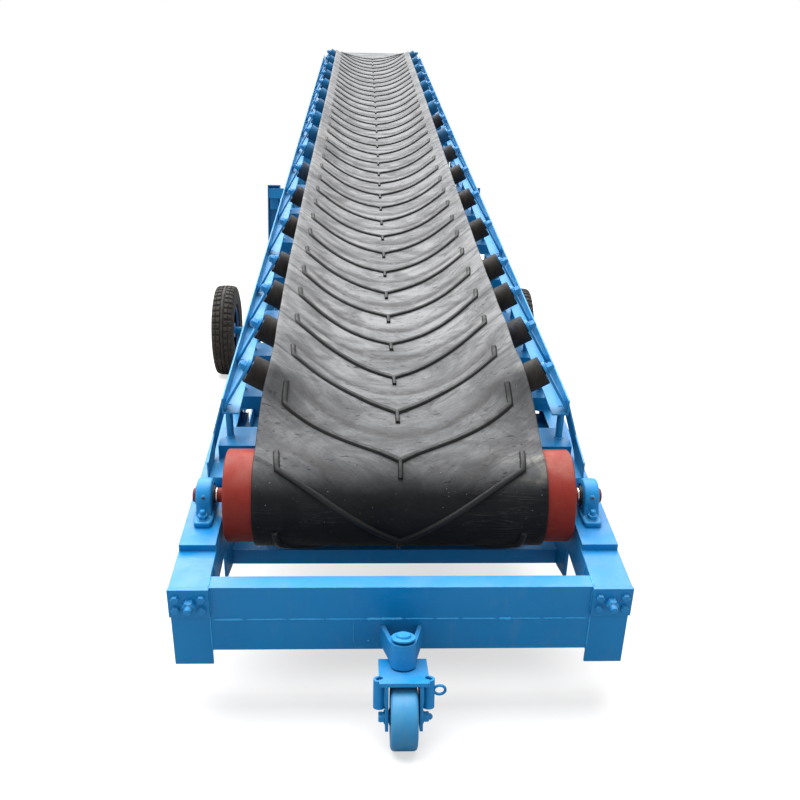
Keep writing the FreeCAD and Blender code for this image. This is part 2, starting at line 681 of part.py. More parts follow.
# ---------------------------------------------------------------- undercarriage
def undercarriage():
    """Axle beam with stubs, channel uprights open to the tail, and cylinder barrels."""
    half_y, height = axle_beam[0] / 2, axle_beam[1]
    low, high = tyre_radius - height / 2, tyre_radius + height / 2
    beam = box((-axle_beam_half, axle_beam_half), (axle_y - half_y, axle_y + half_y), (low, high))
    hollow = box((-axle_beam_half + 8, axle_beam_half - 8), (axle_y - half_y + 8, axle_y + half_y - 8),
                 (low + 8, high - 8))
    stub_end = tyre_centre + 60
    stub = bar((axle_beam_half - 1, axle_y, tyre_radius), (stub_end, axle_y, tyre_radius), stub_radius)
    keep("axle_beam", joined([beam.cut(hollow), stub, mirrored(stub)]), sloped=False)

    inner = upright_outside - upright_width
    back = upright_front + upright_depth
    wall = upright_wall
    outline = [(inner, upright_front), (inner + wall, upright_front), (inner + wall, back - wall),
               (upright_outside - wall, back - wall), (upright_outside - wall, upright_front),
               (upright_outside, upright_front), (upright_outside, back), (inner, back)]
    channel = prism("z", (high, upright_top - 10), outline)
    cap = box((inner, upright_outside), (upright_front, back), (upright_top - 10, upright_top))
    keep_sides("upright", joined([channel, cap]), sloped=False)

    top = lift_beam_top - lift_beam_side - lift_down - 12
    barrel = bar((cylinder_offset, lift_y, high), (cylinder_offset, lift_y, top), cylinder_radius)
    bore = bar((cylinder_offset, lift_y, high + 20), (cylinder_offset, lift_y, top + 1), cylinder_bore)
    gland = pipe((cylinder_offset, lift_y, top - 25), (cylinder_offset, lift_y, top), cylinder_radius + 4,
                 rod_radius + running_gap)
    keep_pair("lift_cylinders", joined([barrel.cut(bore), gland]), sloped=False)


def lift_carriage():
    """Beam that the trusses rest on, with sliders in the uprights, pivot ears and rods."""
    low = lift_beam_top - lift_beam_side
    half = upright_outside - upright_wall - 12
    beam = box((-half, half), (lift_y - lift_beam_side / 2, lift_y + lift_beam_side / 2),
               (low, lift_beam_top))
    inner = upright_outside - upright_width + upright_wall
    slider = box((inner + 5, half), (lift_y + lift_beam_side / 2, upright_front + upright_depth - upright_wall - 5),
                 (low - 90, lift_beam_top - 25))
    pieces = [beam, slider, mirrored(slider)]
    for inside in (pivot_offset - 26, pivot_offset + 14):
        ear = box((inside, inside + 12), (lift_y - 30, lift_y + 30), (lift_beam_top, pivot_height))
        boss = bar((inside, lift_y, pivot_height), (inside + 12, lift_y, pivot_height), 30)
        pieces += [ear, boss, mirrored(ear), mirrored(boss)]
    pin = bar((pivot_offset - 32, lift_y, pivot_height), (pivot_offset + 32, lift_y, pivot_height), pin_radius)
    pieces += [pin, mirrored(pin)]
    keep("lift_beam", joined(pieces), sloped=False)

    barrel_bottom = tyre_radius + axle_beam[1] / 2 + 20
    rod_low = barrel_bottom + lift_down + 10
    rod = bar((cylinder_offset, lift_y, rod_low), (cylinder_offset, lift_y, low), rod_radius)
    piston = bar((cylinder_offset, lift_y, rod_low), (cylinder_offset, lift_y, rod_low + 30),
                 cylinder_bore - running_gap)
    keep_pair("lift_rods", joined([rod, piston]), sloped=False)

    bottom_u = (lift_y + bottom_chord_face * math.sin(slope)) / math.cos(slope)
    _, chord_z = slope_point(bottom_u, bottom_chord_face)
    lug = prism("x", (pivot_offset - 10, pivot_offset + 10),
                [(lift_y - 60, chord_z + 80), (lift_y - 30, pivot_height), (lift_y + 30, pivot_height),
                 (lift_y + 60, chord_z + 80)])
    lug = lug.fuse(bar((pivot_offset - 10, lift_y, pivot_height), (pivot_offset + 10, lift_y, pivot_height), 30))
    lug = lug.cut(bar((pivot_offset - 20, lift_y, pivot_height), (pivot_offset + 20, lift_y, pivot_height),
                      pin_radius + running_gap))
    above = on_slope(box((0, 900), (bottom_u - 400, bottom_u + 400), (bottom_chord_face, 0)))
    lug = lug.cut(above)
    keep_pair("pivot_lugs", lug, sloped=False)


def road_wheels():
    """Pneumatic tyre and dished rim with hub for each side."""
    half = tyre_width / 2
    for name, side in (("right", 1), ("left", -1)):
        centre = (side * tyre_centre, axle_y, tyre_radius)
        tyre = turned([(-half * 0.62, rim_radius), (-half * 0.92, rim_radius + 40), (-half, rim_radius + 95),
                       (-half * 0.9, tyre_radius - 30), (-half * 0.72, tyre_radius - 4), (-half * 0.35, tyre_radius),
                       (half * 0.35, tyre_radius), (half * 0.72, tyre_radius - 4), (half * 0.9, tyre_radius - 30),
                       (half, rim_radius + 95), (half * 0.92, rim_radius + 40), (half * 0.62, rim_radius)], centre)
        keep("tyre_" + name, tyre, sloped=False)
        bore = stub_radius + running_gap
        edge = half * 0.62
        rim = turned([(-edge, rim_radius), (-edge, rim_radius - 14), (-12, rim_radius - 26), (6, hub_radius + 30),
                      (6, hub_radius), (-edge - 4, hub_radius - 8), (-edge - 4, bore), (edge + 12, bore),
                      (edge + 12, hub_radius - 14), (20, hub_radius), (16, hub_radius + 30),
                      (0, rim_radius - 16), (edge, rim_radius - 14), (edge, rim_radius)], (0, 0, 0))
        if side < 0:
            rim = mirrored(rim)
        rim.translate(Vector(*centre))
        keep("rim_" + name, rim, sloped=False)


def build():
    """Make every node, set the origin under the middle of the machine and write the files."""
    for make in (tail_frame, take_up, pillow_block, tail_drum, chords, bracing, cross_members,
                 idler_rollers, return_rollers, belt, head_frame, caster, undercarriage,
                 lift_carriage, road_wheels):
        make()
    everything = Part.makeCompound(list(shapes.values()))
    extent = everything.optimalBoundingBox(False, False)
    shift = Vector(0, -(extent.YMin + extent.YMax) / 2, 0)
    print("origin shift along y %.3f, lowest point %.3f" % (shift.y, extent.ZMin))
    os.makedirs("parts", exist_ok=True)
    for name, shape in shapes.items():
        placed = shape.copy()
        placed.translate(shift)
        placed.exportStep("parts/%s.step" % name)
    print("%d nodes written" % len(shapes))


build()
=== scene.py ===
"""Looks of the mobile belt conveyor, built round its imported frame.

Every length is in metres in the machine's own frame: x to the right, y from tail to head, z up.
Each sub-assembly is a class that holds its sizes, builds its meshes and dresses them.
"""
import logging
import math
import random
from abc import ABC, abstractmethod
from collections.abc import Sequence
from dataclasses import dataclass
from enum import Enum

import bmesh
import bpy
from mathutils import Matrix, Vector


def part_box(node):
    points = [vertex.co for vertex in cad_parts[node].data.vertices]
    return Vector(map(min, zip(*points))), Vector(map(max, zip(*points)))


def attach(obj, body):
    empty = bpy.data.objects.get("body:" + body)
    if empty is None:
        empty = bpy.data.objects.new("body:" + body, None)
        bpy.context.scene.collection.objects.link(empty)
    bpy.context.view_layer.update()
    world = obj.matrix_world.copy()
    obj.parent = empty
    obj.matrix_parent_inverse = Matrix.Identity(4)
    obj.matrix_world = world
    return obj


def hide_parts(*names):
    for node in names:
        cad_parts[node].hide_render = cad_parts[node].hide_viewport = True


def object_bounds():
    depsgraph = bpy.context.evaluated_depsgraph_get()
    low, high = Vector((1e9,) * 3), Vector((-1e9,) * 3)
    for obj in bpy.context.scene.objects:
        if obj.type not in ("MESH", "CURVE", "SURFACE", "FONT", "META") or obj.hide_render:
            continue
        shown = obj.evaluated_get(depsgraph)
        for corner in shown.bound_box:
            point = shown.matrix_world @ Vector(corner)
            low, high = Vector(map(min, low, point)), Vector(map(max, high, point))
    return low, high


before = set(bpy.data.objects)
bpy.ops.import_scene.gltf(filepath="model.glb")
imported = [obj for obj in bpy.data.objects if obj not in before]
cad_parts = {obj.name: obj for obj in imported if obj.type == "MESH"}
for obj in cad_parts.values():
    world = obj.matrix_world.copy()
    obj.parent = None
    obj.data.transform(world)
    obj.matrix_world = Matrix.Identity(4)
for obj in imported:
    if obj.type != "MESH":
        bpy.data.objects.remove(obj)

Colour = tuple[float, float, float]
Pair = tuple[float, float]
Socket = bpy.types.NodeSocket
Sockets = bpy.types.bpy_prop_collection

LOG = logging.getLogger("conveyor")
CAD_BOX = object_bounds()
TURN_Z_TO_X = Matrix.Rotation(math.pi / 2, 4, "Y")
TURN_Z_TO_BACK = Matrix.Rotation(math.pi / 2, 4, "X")
SIDES = (-1, 1)
MERGE = 1e-6
OUTPUT_KINDS = {"Mask": "Float", "Height": "Float", "Normal": "Vector", "Colour": "Color"}


class Side(Enum):
    """The two sides of the machine, seen from the tail."""

    LEFT = -1
    RIGHT = 1

    @property
    def word(self) -> str:
        """The side's name as the nodes spell it."""
        return self.name.lower()


class Body(Enum):
    """The bodies that pieces ride on."""

    FRAME = "frame"
    CARRIAGE = "lift_carriage"
    UNDERCARRIAGE = "under_carriage"
    WHEEL_LEFT = "wheel_left"
    WHEEL_RIGHT = "wheel_right"
    FORK = "caster_fork"
    CASTER_WHEEL = "caster_wheel"


class Slot(Enum):
    """The record's material slots that the pieces belong to."""

    FRAME_PAINT = "frame_paint"
    DRUM_PAINT = "drum_paint"
    BELT_RUBBER = "belt_rubber"
    ROLLER_PAINT = "roller_paint"
    TYRE_RUBBER = "tyre_rubber"
    WHEEL_PAINT = "wheel_paint"


# ---------------------------------------------------------------- node trees
class Graph:
    """A node tree that is being filled in."""

    def __init__(self, tree: bpy.types.NodeTree) -> None:
        """Keep the tree that the nodes go in."""
        self.tree = tree

    def node(self, kind: str, **settings: object) -> bpy.types.Node:
        """Add a node.

        Args:
            kind: the node's type name.
            settings: values for the node's own properties.

        Returns:
            The new node.
        """
        made = self.tree.nodes.new(kind)
        for key, value in settings.items():
            setattr(made, key, value)
        return made

    def feed(self, into: Socket, value: object) -> None:
        """Link a socket to another, or set its constant.

        Args:
            into: the socket that takes the value.
            value: a socket, number, colour or vector.
        """
        if isinstance(value, bpy.types.NodeSocket):
            self.tree.links.new(value, into)
        elif isinstance(value, tuple) and len(value) == 3 and into.type == "RGBA":
            into.default_value = (*value, 1.0)
        else:
            into.default_value = value

    def run(self, kind: str, values: Sequence[object], **settings: object) -> Socket:
        """Add a node and feed its first inputs in order.

        Args:
            kind: the node's type name.
            values: a socket or constant for each input.
            settings: values for the node's own properties.

        Returns:
            The node's first output.
        """
        made = self.node(kind, **settings)
        for into, value in zip(made.inputs, values):
            self.feed(into, value)
        return made.outputs[0]

    def named(self, kind: str, values: dict[str, object], **settings: object) -> Sockets:
        """Add a node and feed some of its inputs by name.

        Args:
            kind: the node's type name.
            values: a socket or constant for each input named.
            settings: values for the node's own properties.

        Returns:
            The node's outputs.
        """
        made = self.node(kind, **settings)
        for key, value in values.items():
            self.feed(made.inputs[key], value)
        return made.outputs

    def sum(self, operation: str, *values: object) -> Socket:
        """One sum of a Math node."""
        return self.run("ShaderNodeMath", values, operation=operation)

    def plus(self, first: object, second: object) -> Socket:
        """Two values added."""
        return self.sum("ADD", first, second)

    def minus(self, first: object, second: object) -> Socket:
        """The first value less the second."""
        return self.sum("SUBTRACT", first, second)

    def times(self, first: object, *others: object) -> Socket:
        """Product of two or more values.

        Args:
            first: a socket or number.
            others: sockets or numbers.

        Returns:
            The product's socket.
        """
        for other in others:
            first = self.sum("MULTIPLY", first, other)
        return first

    def spread(self, value: object, low: float, high: float, to_low: float = 0.0, to_high: float = 1.0) -> Socket:
        """A range mapped smoothly to another, held at its ends."""
        return self.run("ShaderNodeMapRange", (value, low, high, to_low, to_high), interpolation_type="SMOOTHSTEP")

    def blend(self, share: object, first: object, second: object) -> Socket:
        """Mix two colours.

        Args:
            share: how much of the second colour shows.
            first: colour or socket.
            second: colour or socket.

        Returns:
            The mixed colour's socket.
        """
        made = self.node("ShaderNodeMix", data_type="RGBA", blend_type="MIX")
        for index, value in ((0, share), (6, first), (7, second)):
            self.feed(made.inputs[index], value)
        return made.outputs[2]

    def layers(self, base: object, *coats: tuple[object, object]) -> Socket:
        """Lay coats of colour over a base.

        Args:
            base: colour or socket.
            coats: the share and the colour of each coat, from the lowest up.

        Returns:
            The colour that shows.
        """
        for share, colour in coats:
            base = self.blend(share, base, colour)
        return base

    def place(self) -> Socket:
        """The point on the piece in the machine's frame, in metres."""
        return self.node("ShaderNodeTexCoord").outputs["Object"]

    def mapped(self, **values: Colour) -> Socket:
        """That point moved, turned or scaled by a Mapping node."""
        return self.named("ShaderNodeMapping", {"Vector": self.place(), **values})[0]

    def stretched(self, vector: Socket, scale: Colour) -> Socket:
        """A vector scaled by a different amount along each axis."""
        return self.run("ShaderNodeVectorMath", (vector, scale), operation="MULTIPLY")

    def split(self, vector: Socket) -> Sockets:
        """The x, y and z of a vector."""
        return self.named("ShaderNodeSeparateXYZ", {"Vector": vector})

    def cloud(self, vector: Socket, scale: object, detail: float = 3.0, rough: float = 0.55,
              warp: float = 0.0) -> Socket:
        """Noise value from 0 to 1.

        Args:
            vector: where to look the noise up.
            scale: features a metre.
            detail: octaves.
            rough: how strong the fine octaves are.
            warp: distortion.

        Returns:
            The noise's socket.
        """
        return self.named("ShaderNodeTexNoise", {"Vector": vector, "Scale": scale, "Detail": detail,
                                                 "Roughness": rough, "Distortion": warp})[0]

    def upward(self) -> Socket:
        """How far the surface faces up, from -1 to 1."""
        return self.split(self.node("ShaderNodeNewGeometry").outputs["Normal"])[2]


class Effect(Enum):
    """The effects that several materials share."""

    EDGE_WEAR = "edge_wear"
    DUST = "dust"
    GRAIN = "grain"
    STREAKS = "streaks"
    MOTTLE = "mottle"
    SCUFFS = "scuffs"


class Effects:
    """The shared effects' node groups, each built once."""

    def __init__(self) -> None:
        """Build every group."""
        self.trees: dict[Effect, bpy.types.NodeTree] = {}
        self._edge_wear()
        self._dust()
        self._grain()
        self._streaks()
        self._mottle()
        self._scuffs()

    def _group(self, effect: Effect, outputs: Sequence[str],
               **inputs: float | tuple[float, ...]) -> tuple[Graph, Sockets, Sockets]:
        """Start a node group.

        Args:
            effect: the effect that it is for.
            outputs: names of its outputs.
            inputs: each input's name and default.

        Returns:
            The group's graph, the sockets that it is given and those of its result.
        """
        tree = self.trees[effect] = bpy.data.node_groups.new(effect.value, "ShaderNodeTree")
        for label, start in inputs.items():
            kind = "NodeSocketFloat" if isinstance(start, float) else "NodeSocketColor"
            tree.interface.new_socket(name=label, in_out="INPUT", socket_type=kind).default_value = start
        for label in outputs:
            tree.interface.new_socket(name=label, in_out="OUTPUT", socket_type=f"NodeSocket{OUTPUT_KINDS[label]}")
        graph = Graph(tree)
        return graph, graph.node("NodeGroupInput").outputs, graph.node("NodeGroupOutput").inputs

    def _edge_wear(self) -> None:
        """Mask of rubbed edges, and the normal that rounds them."""
        graph, given, result = self._group(Effect.EDGE_WEAR, ("Mask", "Normal"), Radius=0.003, Breakup=60.0, Amount=1.0)
        rounded = graph.named("ShaderNodeBevel", {"Radius": given["Radius"]}, samples=4)[0]
        dot = graph.node("ShaderNodeVectorMath", operation="DOT_PRODUCT")
        graph.feed(dot.inputs[0], rounded)
        graph.feed(dot.inputs[1], graph.node("ShaderNodeNewGeometry").outputs["Normal"])
        edge = graph.spread(graph.minus(1.0, dot.outputs["Value"]), 0.01, 0.16)
        broken = graph.spread(graph.cloud(graph.place(), given["Breakup"], 4.0, 0.6), 0.42, 0.62)
        graph.feed(result["Mask"], graph.times(edge, broken, given["Amount"]))
        graph.feed(result["Normal"], rounded)

    def _dust(self) -> None:
        """Mask of dust that settles on faces turned up."""
        graph, given, result = self._group(Effect.DUST, ("Mask",), Amount=0.5, Scale=6.0)
        lying = graph.spread(graph.upward(), 0.25, 0.95, 0.12, 1.0)
        wide = graph.spread(graph.cloud(graph.place(), given["Scale"], 5.0, 0.62, 0.3), 0.35, 0.7)
        fine = graph.spread(graph.cloud(graph.place(), 210.0, 2.0, 0.6), 0.2, 0.75, 0.55, 1.0)
        graph.feed(result["Mask"], graph.sum("MINIMUM", graph.times(lying, wide, fine, given["Amount"]), 1.0))

    def _grain(self) -> None:
        """Height of a fine uneven skin, such as sprayed enamel or moulded rubber."""
        graph, given, result = self._group(Effect.GRAIN, ("Height",), Scale=400.0, Waviness=0.5)
        fine = graph.cloud(graph.place(), given["Scale"], 2.0, 0.5)
        broad = graph.cloud(graph.place(), graph.times(given["Scale"], 0.08), 2.0, 0.5)
        graph.feed(result["Height"], graph.plus(fine, graph.times(broad, given["Waviness"], 4.0)))

    def _streaks(self) -> None:
        """Mask of dirt that rain has drawn down upright faces."""
        graph, given, result = self._group(Effect.STREAKS, ("Mask",), Amount=0.4, Scale=30.0)
        drawn = graph.stretched(graph.place(), (1.0, 1.0, 0.09))
        lines = graph.spread(graph.cloud(drawn, given["Scale"], 3.0, 0.6, 0.1), 0.54, 0.72)
        patch = graph.spread(graph.cloud(graph.place(), 3.5, 2.0, 0.5), 0.4, 0.6)
        upright = graph.spread(graph.sum("ABSOLUTE", graph.upward()), 0.3, 0.8, 1.0, 0.0)
        graph.feed(result["Mask"], graph.times(lines, patch, upright, given["Amount"]))

    def _mottle(self) -> None:
        """A colour that drifts between two shades."""
        graph, given, result = self._group(Effect.MOTTLE, ("Colour",), Main=(0.5, 0.5, 0.5, 1.0),
                                           Second=(0.4, 0.4, 0.4, 1.0), Scale=8.0)
        wide = graph.cloud(graph.place(), given["Scale"], 4.0, 0.6, 0.4)
        close = graph.cloud(graph.place(), graph.times(given["Scale"], 9.0), 3.0, 0.6)
        share = graph.times(graph.spread(wide, 0.3, 0.72), graph.spread(close, 0.15, 0.8, 0.5, 1.0))
        graph.feed(result["Colour"], graph.blend(share, given["Main"], given["Second"]))

    def _scuffs(self) -> None:
        """Mask of short scratches that run mostly one way."""
        graph, given, result = self._group(Effect.SCUFFS, ("Mask",), Amount=0.5, Scale=14.0)
        bent = graph.mapped(Rotation=(0.3, 0.5, 0.6), Scale=(0.35, 5.0, 5.0))
        ridge = graph.minus(graph.cloud(bent, given["Scale"], 4.0, 0.7, 0.8), 0.5)
        thin = graph.spread(graph.sum("ABSOLUTE", ridge), 0.0, 0.018, 1.0, 0.0)
        patch = graph.spread(graph.cloud(graph.place(), 5.0, 3.0, 0.6), 0.5, 0.66)
        graph.feed(result["Mask"], graph.times(thin, patch, given["Amount"]))


class Skin(Graph):
    """A material being made: its nodes, its shader and the effects that it shares."""

    def __init__(self, name: str, effects: Effects) -> None:
        """Start the material with its shader.

        Args:
            name: the material's name.
            effects: the shared node groups.
        """
        self.material = bpy.data.materials.new(name)
        self.material.use_nodes = True
        super().__init__(self.material.node_tree)
        self.tree.nodes.clear()
        self.effects = effects
        self.shader = self.node("ShaderNodeBsdfPrincipled")
        self.feed(self.node("ShaderNodeOutputMaterial").inputs["Surface"], self.shader.outputs[0])

    def give(self, label: str, value: object) -> None:
        """Feed one of the shader's inputs."""
        self.feed(self.shader.inputs[label], value)

    def effect(self, effect: Effect, **values: object) -> Sockets:
        """The outputs of a shared effect."""
        return self.named("ShaderNodeGroup", values, node_tree=self.effects.trees[effect])

    def mottle(self, main: Colour, second: Colour, scale: float) -> Socket:
        """Colour that drifts between two shades."""
        return self.effect(Effect.MOTTLE, Main=main, Second=second, Scale=scale)[0]

    def edge(self, radius: float, breakup: float, amount: float) -> Sockets:
        """Mask and normal of rubbed edges."""
        return self.effect(Effect.EDGE_WEAR, Radius=radius, Breakup=breakup, Amount=amount)

    def dust(self, amount: float, scale: float) -> Socket:
        """Mask of settled dust."""
        return self.effect(Effect.DUST, Amount=amount, Scale=scale)[0]

    def streaks(self, amount: float, scale: float) -> Socket:
        """Mask of rain streaks."""
        return self.effect(Effect.STREAKS, Amount=amount, Scale=scale)[0]

    def scuffs(self, amount: float, scale: float) -> Socket:
        """Mask of scratches."""
        return self.effect(Effect.SCUFFS, Amount=amount, Scale=scale)[0]

    def grain(self, scale: float, waviness: float) -> Socket:
        """Height of the skin's grain."""
        return self.effect(Effect.GRAIN, Scale=scale, Waviness=waviness)[0]

    def sheen(self, scale: float, low: float, high: float, dust: Socket, duller: float) -> None:
        """Feed the roughness from a cloud, and dull it where dust lies.

        Args:
            scale: the cloud's features a metre.
            low: least roughness of clean skin.
            high: most roughness of clean skin.
            dust: the dust's mask.
            duller: roughness that full dust adds.
        """
        clean = self.spread(self.cloud(self.place(), scale, 4.0, 0.6), 0.3, 0.7, low, high)
        self.give("Roughness", self.plus(clean, self.times(dust, duller)))

    def bump(self, height: Socket, distance: float, strength: float, normal: Socket | None = None) -> None:
        """Feed the shader's normal from a height.

        Args:
            height: the height's socket.
            distance: how deep a height of 1 is, in metres.
            strength: the Bump node's strength.
            normal: the normal that the bumps sit on.
        """
        values = {"Strength": strength, "Distance": distance, "Height": height}
        if normal is not None:
            values["Normal"] = normal
        self.give("Normal", self.named("ShaderNodeBump", values)[0])


# ---------------------------------------------------------------- finishes
@dataclass(frozen=True)
class Finish(ABC):
    """A finish that makes its own material; each kind has a roughness and a specular level of its own."""

    name: str

    @abstractmethod
    def coat(self, skin: Skin) -> None:
        """Fill the material's nodes in.

        Args:
            skin: the material being made.
        """

    def build(self, effects: Effects) -> bpy.types.Material:
        """Make the material.

        Args:
            effects: the shared node groups.

        Returns:
            The material.
        """
        skin = Skin(self.name, effects)
        skin.give("Roughness", self.roughness)
        skin.give("Specular IOR Level", self.specular)
        self.coat(skin)
        return skin.material


@dataclass(frozen=True)
class Enamel(Finish):
    """Sprayed enamel on steel, rubbed at its edges to a lighter colour that is partly a painted highlight, and dusty on
    top.
    """

    colour: Colour
    second: Colour
    # Lighter colour of rubbed edges and scratches; on the edges it is partly a painted highlight.
    rubbed: Colour = (0.12, 0.36, 0.58)
    soil: Colour = (0.13, 0.2, 0.25)
    dust: float = 0.35
    wear: float = 0.7
    radius: float = 0.003
    roughness: float = 0.34
    grain: float = 420.0
    waviness: float = 0.5
    specular: float = 0.24

    def coat(self, skin: Skin) -> None:
        """Paint with rain streaks, rubbed edges that are partly a painted highlight, scratches and dust.

        Args:
            skin: the material being made.
        """
        edge = skin.edge(self.radius, 45.0, self.wear)
        dust = skin.dust(self.dust, 7.0)
        # Edges and scratches take the lighter colour: wear, and on the edges a painted highlight.
        wear_and_highlight_mask = skin.sum("MAXIMUM", edge["Mask"], skin.scuffs(0.22, 9.0))
        skin.give("Base Color", skin.layers(skin.mottle(self.colour, self.second, 5.0),
                                            (skin.streaks(0.12, 34.0), self.soil),
                                            (wear_and_highlight_mask, self.rubbed), (dust, self.soil)))
        skin.sheen(16.0, self.roughness - 0.07, self.roughness + 0.12, dust, 0.3)
        skin.bump(skin.grain(self.grain, self.waviness), 0.0004, 0.35, edge["Normal"])


@dataclass(frozen=True)
class Rubber(Finish):
    """Moulded rubber, greyed by dust and scuffed."""

    colour: Colour
    second: Colour
    dust_colour: Colour = (0.2, 0.19, 0.18)
    dust: float = 0.5
    roughness: float = 0.55
    specular: float = 0.4

    def coat(self, skin: Skin) -> None:
        """Dust, then rubbed edges and scratches of the same colour.

        Args:
            skin: the material being made.
        """
        edge = skin.edge(0.002, 90.0, 0.5)
        dust = skin.dust(self.dust, 9.0)
        worn = skin.sum("MAXIMUM", skin.times(edge["Mask"], 0.6), skin.scuffs(0.5, 12.0))
        skin.give("Base Color", skin.layers(skin.mottle(self.colour, self.second, 7.0),
                                            (dust, self.dust_colour), (worn, self.dust_colour)))
        skin.sheen(25.0, self.roughness - 0.1, self.roughness + 0.12, dust, 0.2)
        skin.bump(skin.grain(520.0, 0.8), 0.0005, 0.5, edge["Normal"])


@dataclass(frozen=True)
class BeltRubber(Finish):
    """The belt's carrying face: dark rubber with a film of dust and painted sheen, stains and nicks that follow the
    chevrons, and painted shade at the foot of each cleat.
    """

    angle: float
    tail: tuple[float, float, float]
    clean: Colour = (0.0055, 0.006, 0.007)
    worn: Colour = (0.012, 0.0125, 0.0135)
    # Grey of the film: dust, and painted sheen on the faces turned up.
    film: Colour = (0.182, 0.184, 0.189)
    stain: Colour = (0.036, 0.035, 0.036)
    smudge: Colour = (0.3, 0.29, 0.24)
    pitch: float = 0.251
    first_tip: float = -0.041
    sweep: float = 0.69
    bow: float = 0.012
    roughness: float = 0.6
    specular: float = 0.08

    def turns(self, skin: Skin, along: Socket, start: float) -> Socket:
        """How far along its own pitch a point is, from 0 to 1."""
        return skin.sum("FRACT", skin.sum("DIVIDE", skin.minus(along, start), self.pitch))

    def coat(self, skin: Skin) -> None:
        """Film of dust and painted sheen, broken by stains behind the chevrons, painted shade before them, nicks and
        specks.

        Args:
            skin: the material being made.
        """
        turn = Matrix.Rotation(-self.angle, 3, "X")
        place = skin.mapped(Rotation=(-self.angle, 0.0, 0.0), Location=tuple(-(turn @ Vector(self.tail))))
        across, along, _ = skin.split(place)
        reach = skin.sum("ABSOLUTE", across)
        lying = skin.spread(skin.upward(), 0.2, 0.9)
        bow = skin.sum("POWER", skin.plus(skin.times(across, across), self.bow), 0.5)
        arc = skin.minus(along, skin.times(bow, self.sweep * 1.15))
        shifted = skin.plus(arc, skin.times(skin.cloud(place, 4.2, 3.0, 0.55), 0.05))
        phase = self.turns(skin, shifted, self.first_tip - 0.05)
        rib = self.turns(skin, skin.minus(along, skin.times(reach, self.sweep)), self.first_tip)
        drawn = skin.run("ShaderNodeCombineXYZ", (skin.times(across, 0.42), arc))
        smear = skin.cloud(drawn, 9.0, 6.0, 0.66, 1.3)
        fine = skin.cloud(drawn, 46.0, 4.0, 0.7, 1.2)
        dash = skin.cloud(drawn, 24.0, 5.0, 0.7, 1.5)
        drift = skin.cloud(skin.stretched(place, (1.0, 1.5, 1.5)), 3.6, 5.0, 0.64, 1.2)
        # The film lies on faces turned up, is darkest round the tail drum and grows lighter up the slope: dust, with
        # painted sheen in the share turned up and in both ramps along the slope.
        film = skin.times(skin.spread(smear, 0.41, 0.58, 0.78, 1.08), skin.spread(drift, 0.38, 0.58, 0.66, 1.12),
                          skin.spread(fine, 0.42, 0.56, 0.88, 1.05), lying,
                          skin.spread(along, -0.2, 0.95, 0.4, 0.86), skin.spread(along, 2.0, 8.0, 1.0, 1.25))
        ghost = skin.times(skin.spread(phase, 0.36, 0.43), skin.spread(phase, 0.46, 0.66, 1.0, 0.0),
                           skin.spread(reach, 0.26, 0.36, 1.0, 0.15), skin.spread(fine, 0.43, 0.55, 0.45, 1.0))
        blot = skin.spread(skin.cloud(place, 6.5, 5.0, 0.68, 0.8), 0.57, 0.65)
        streak = skin.times(skin.spread(dash, 0.57, 0.62), skin.spread(across, -0.2, 0.2, 0.45, 1.0))
        # Dark band at the downhill foot of each cleat, where its shadow falls: painted shade.
        cleat_shade = skin.times(skin.spread(rib, 0.9, 0.962, 0.0, 0.5), skin.spread(smear, 0.3, 0.6, 0.4, 1.0))
        nicked = skin.cloud(skin.stretched(place, (34.0, 105.0, 34.0)), 1.0, 2.0, 0.5, 0.8)
        nick = skin.times(skin.spread(nicked, 0.64, 0.69),
                          skin.spread(skin.cloud(place, 7.0, 2.0, 0.5), 0.42, 0.6), 0.75)
        scuff = skin.scuffs(0.6, 7.0)
        pale = skin.times(skin.spread(reach, 0.24, 0.33), skin.spread(drift, 0.55, 0.66),
                          skin.spread(skin.cloud(place, 24.0, 4.0, 0.6), 0.45, 0.6))
        speck = skin.spread(skin.cloud(place, 190.0, 1.0, 0.5), 0.77, 0.8)
        skin.give("Base Color", skin.layers(
            skin.mottle(self.clean, self.worn, 6.0), (film, self.film),
            (skin.times(ghost, lying, 0.85), self.stain), (skin.times(blot, lying, 0.4), self.stain),
            (skin.times(streak, lying, 0.6), self.stain), (skin.times(cleat_shade, lying), self.clean),
            (nick, self.clean), (scuff, self.stain), (skin.times(pale, lying, 0.3), self.smudge),
            (skin.times(speck, 0.5), self.smudge)))
        skin.give("Roughness", skin.plus(skin.spread(smear, 0.3, 0.7, 0.5, 0.66), skin.times(film, 0.1)))
        dents = skin.cloud(place, 34.0, 3.0, 0.55, 0.5)
        height = skin.plus(skin.times(skin.grain(600.0, 0.6), 0.2), skin.times(dents, 1.7))
        skin.bump(skin.minus(height, skin.times(skin.plus(nick, scuff), 0.8)), 0.0018, 0.5)


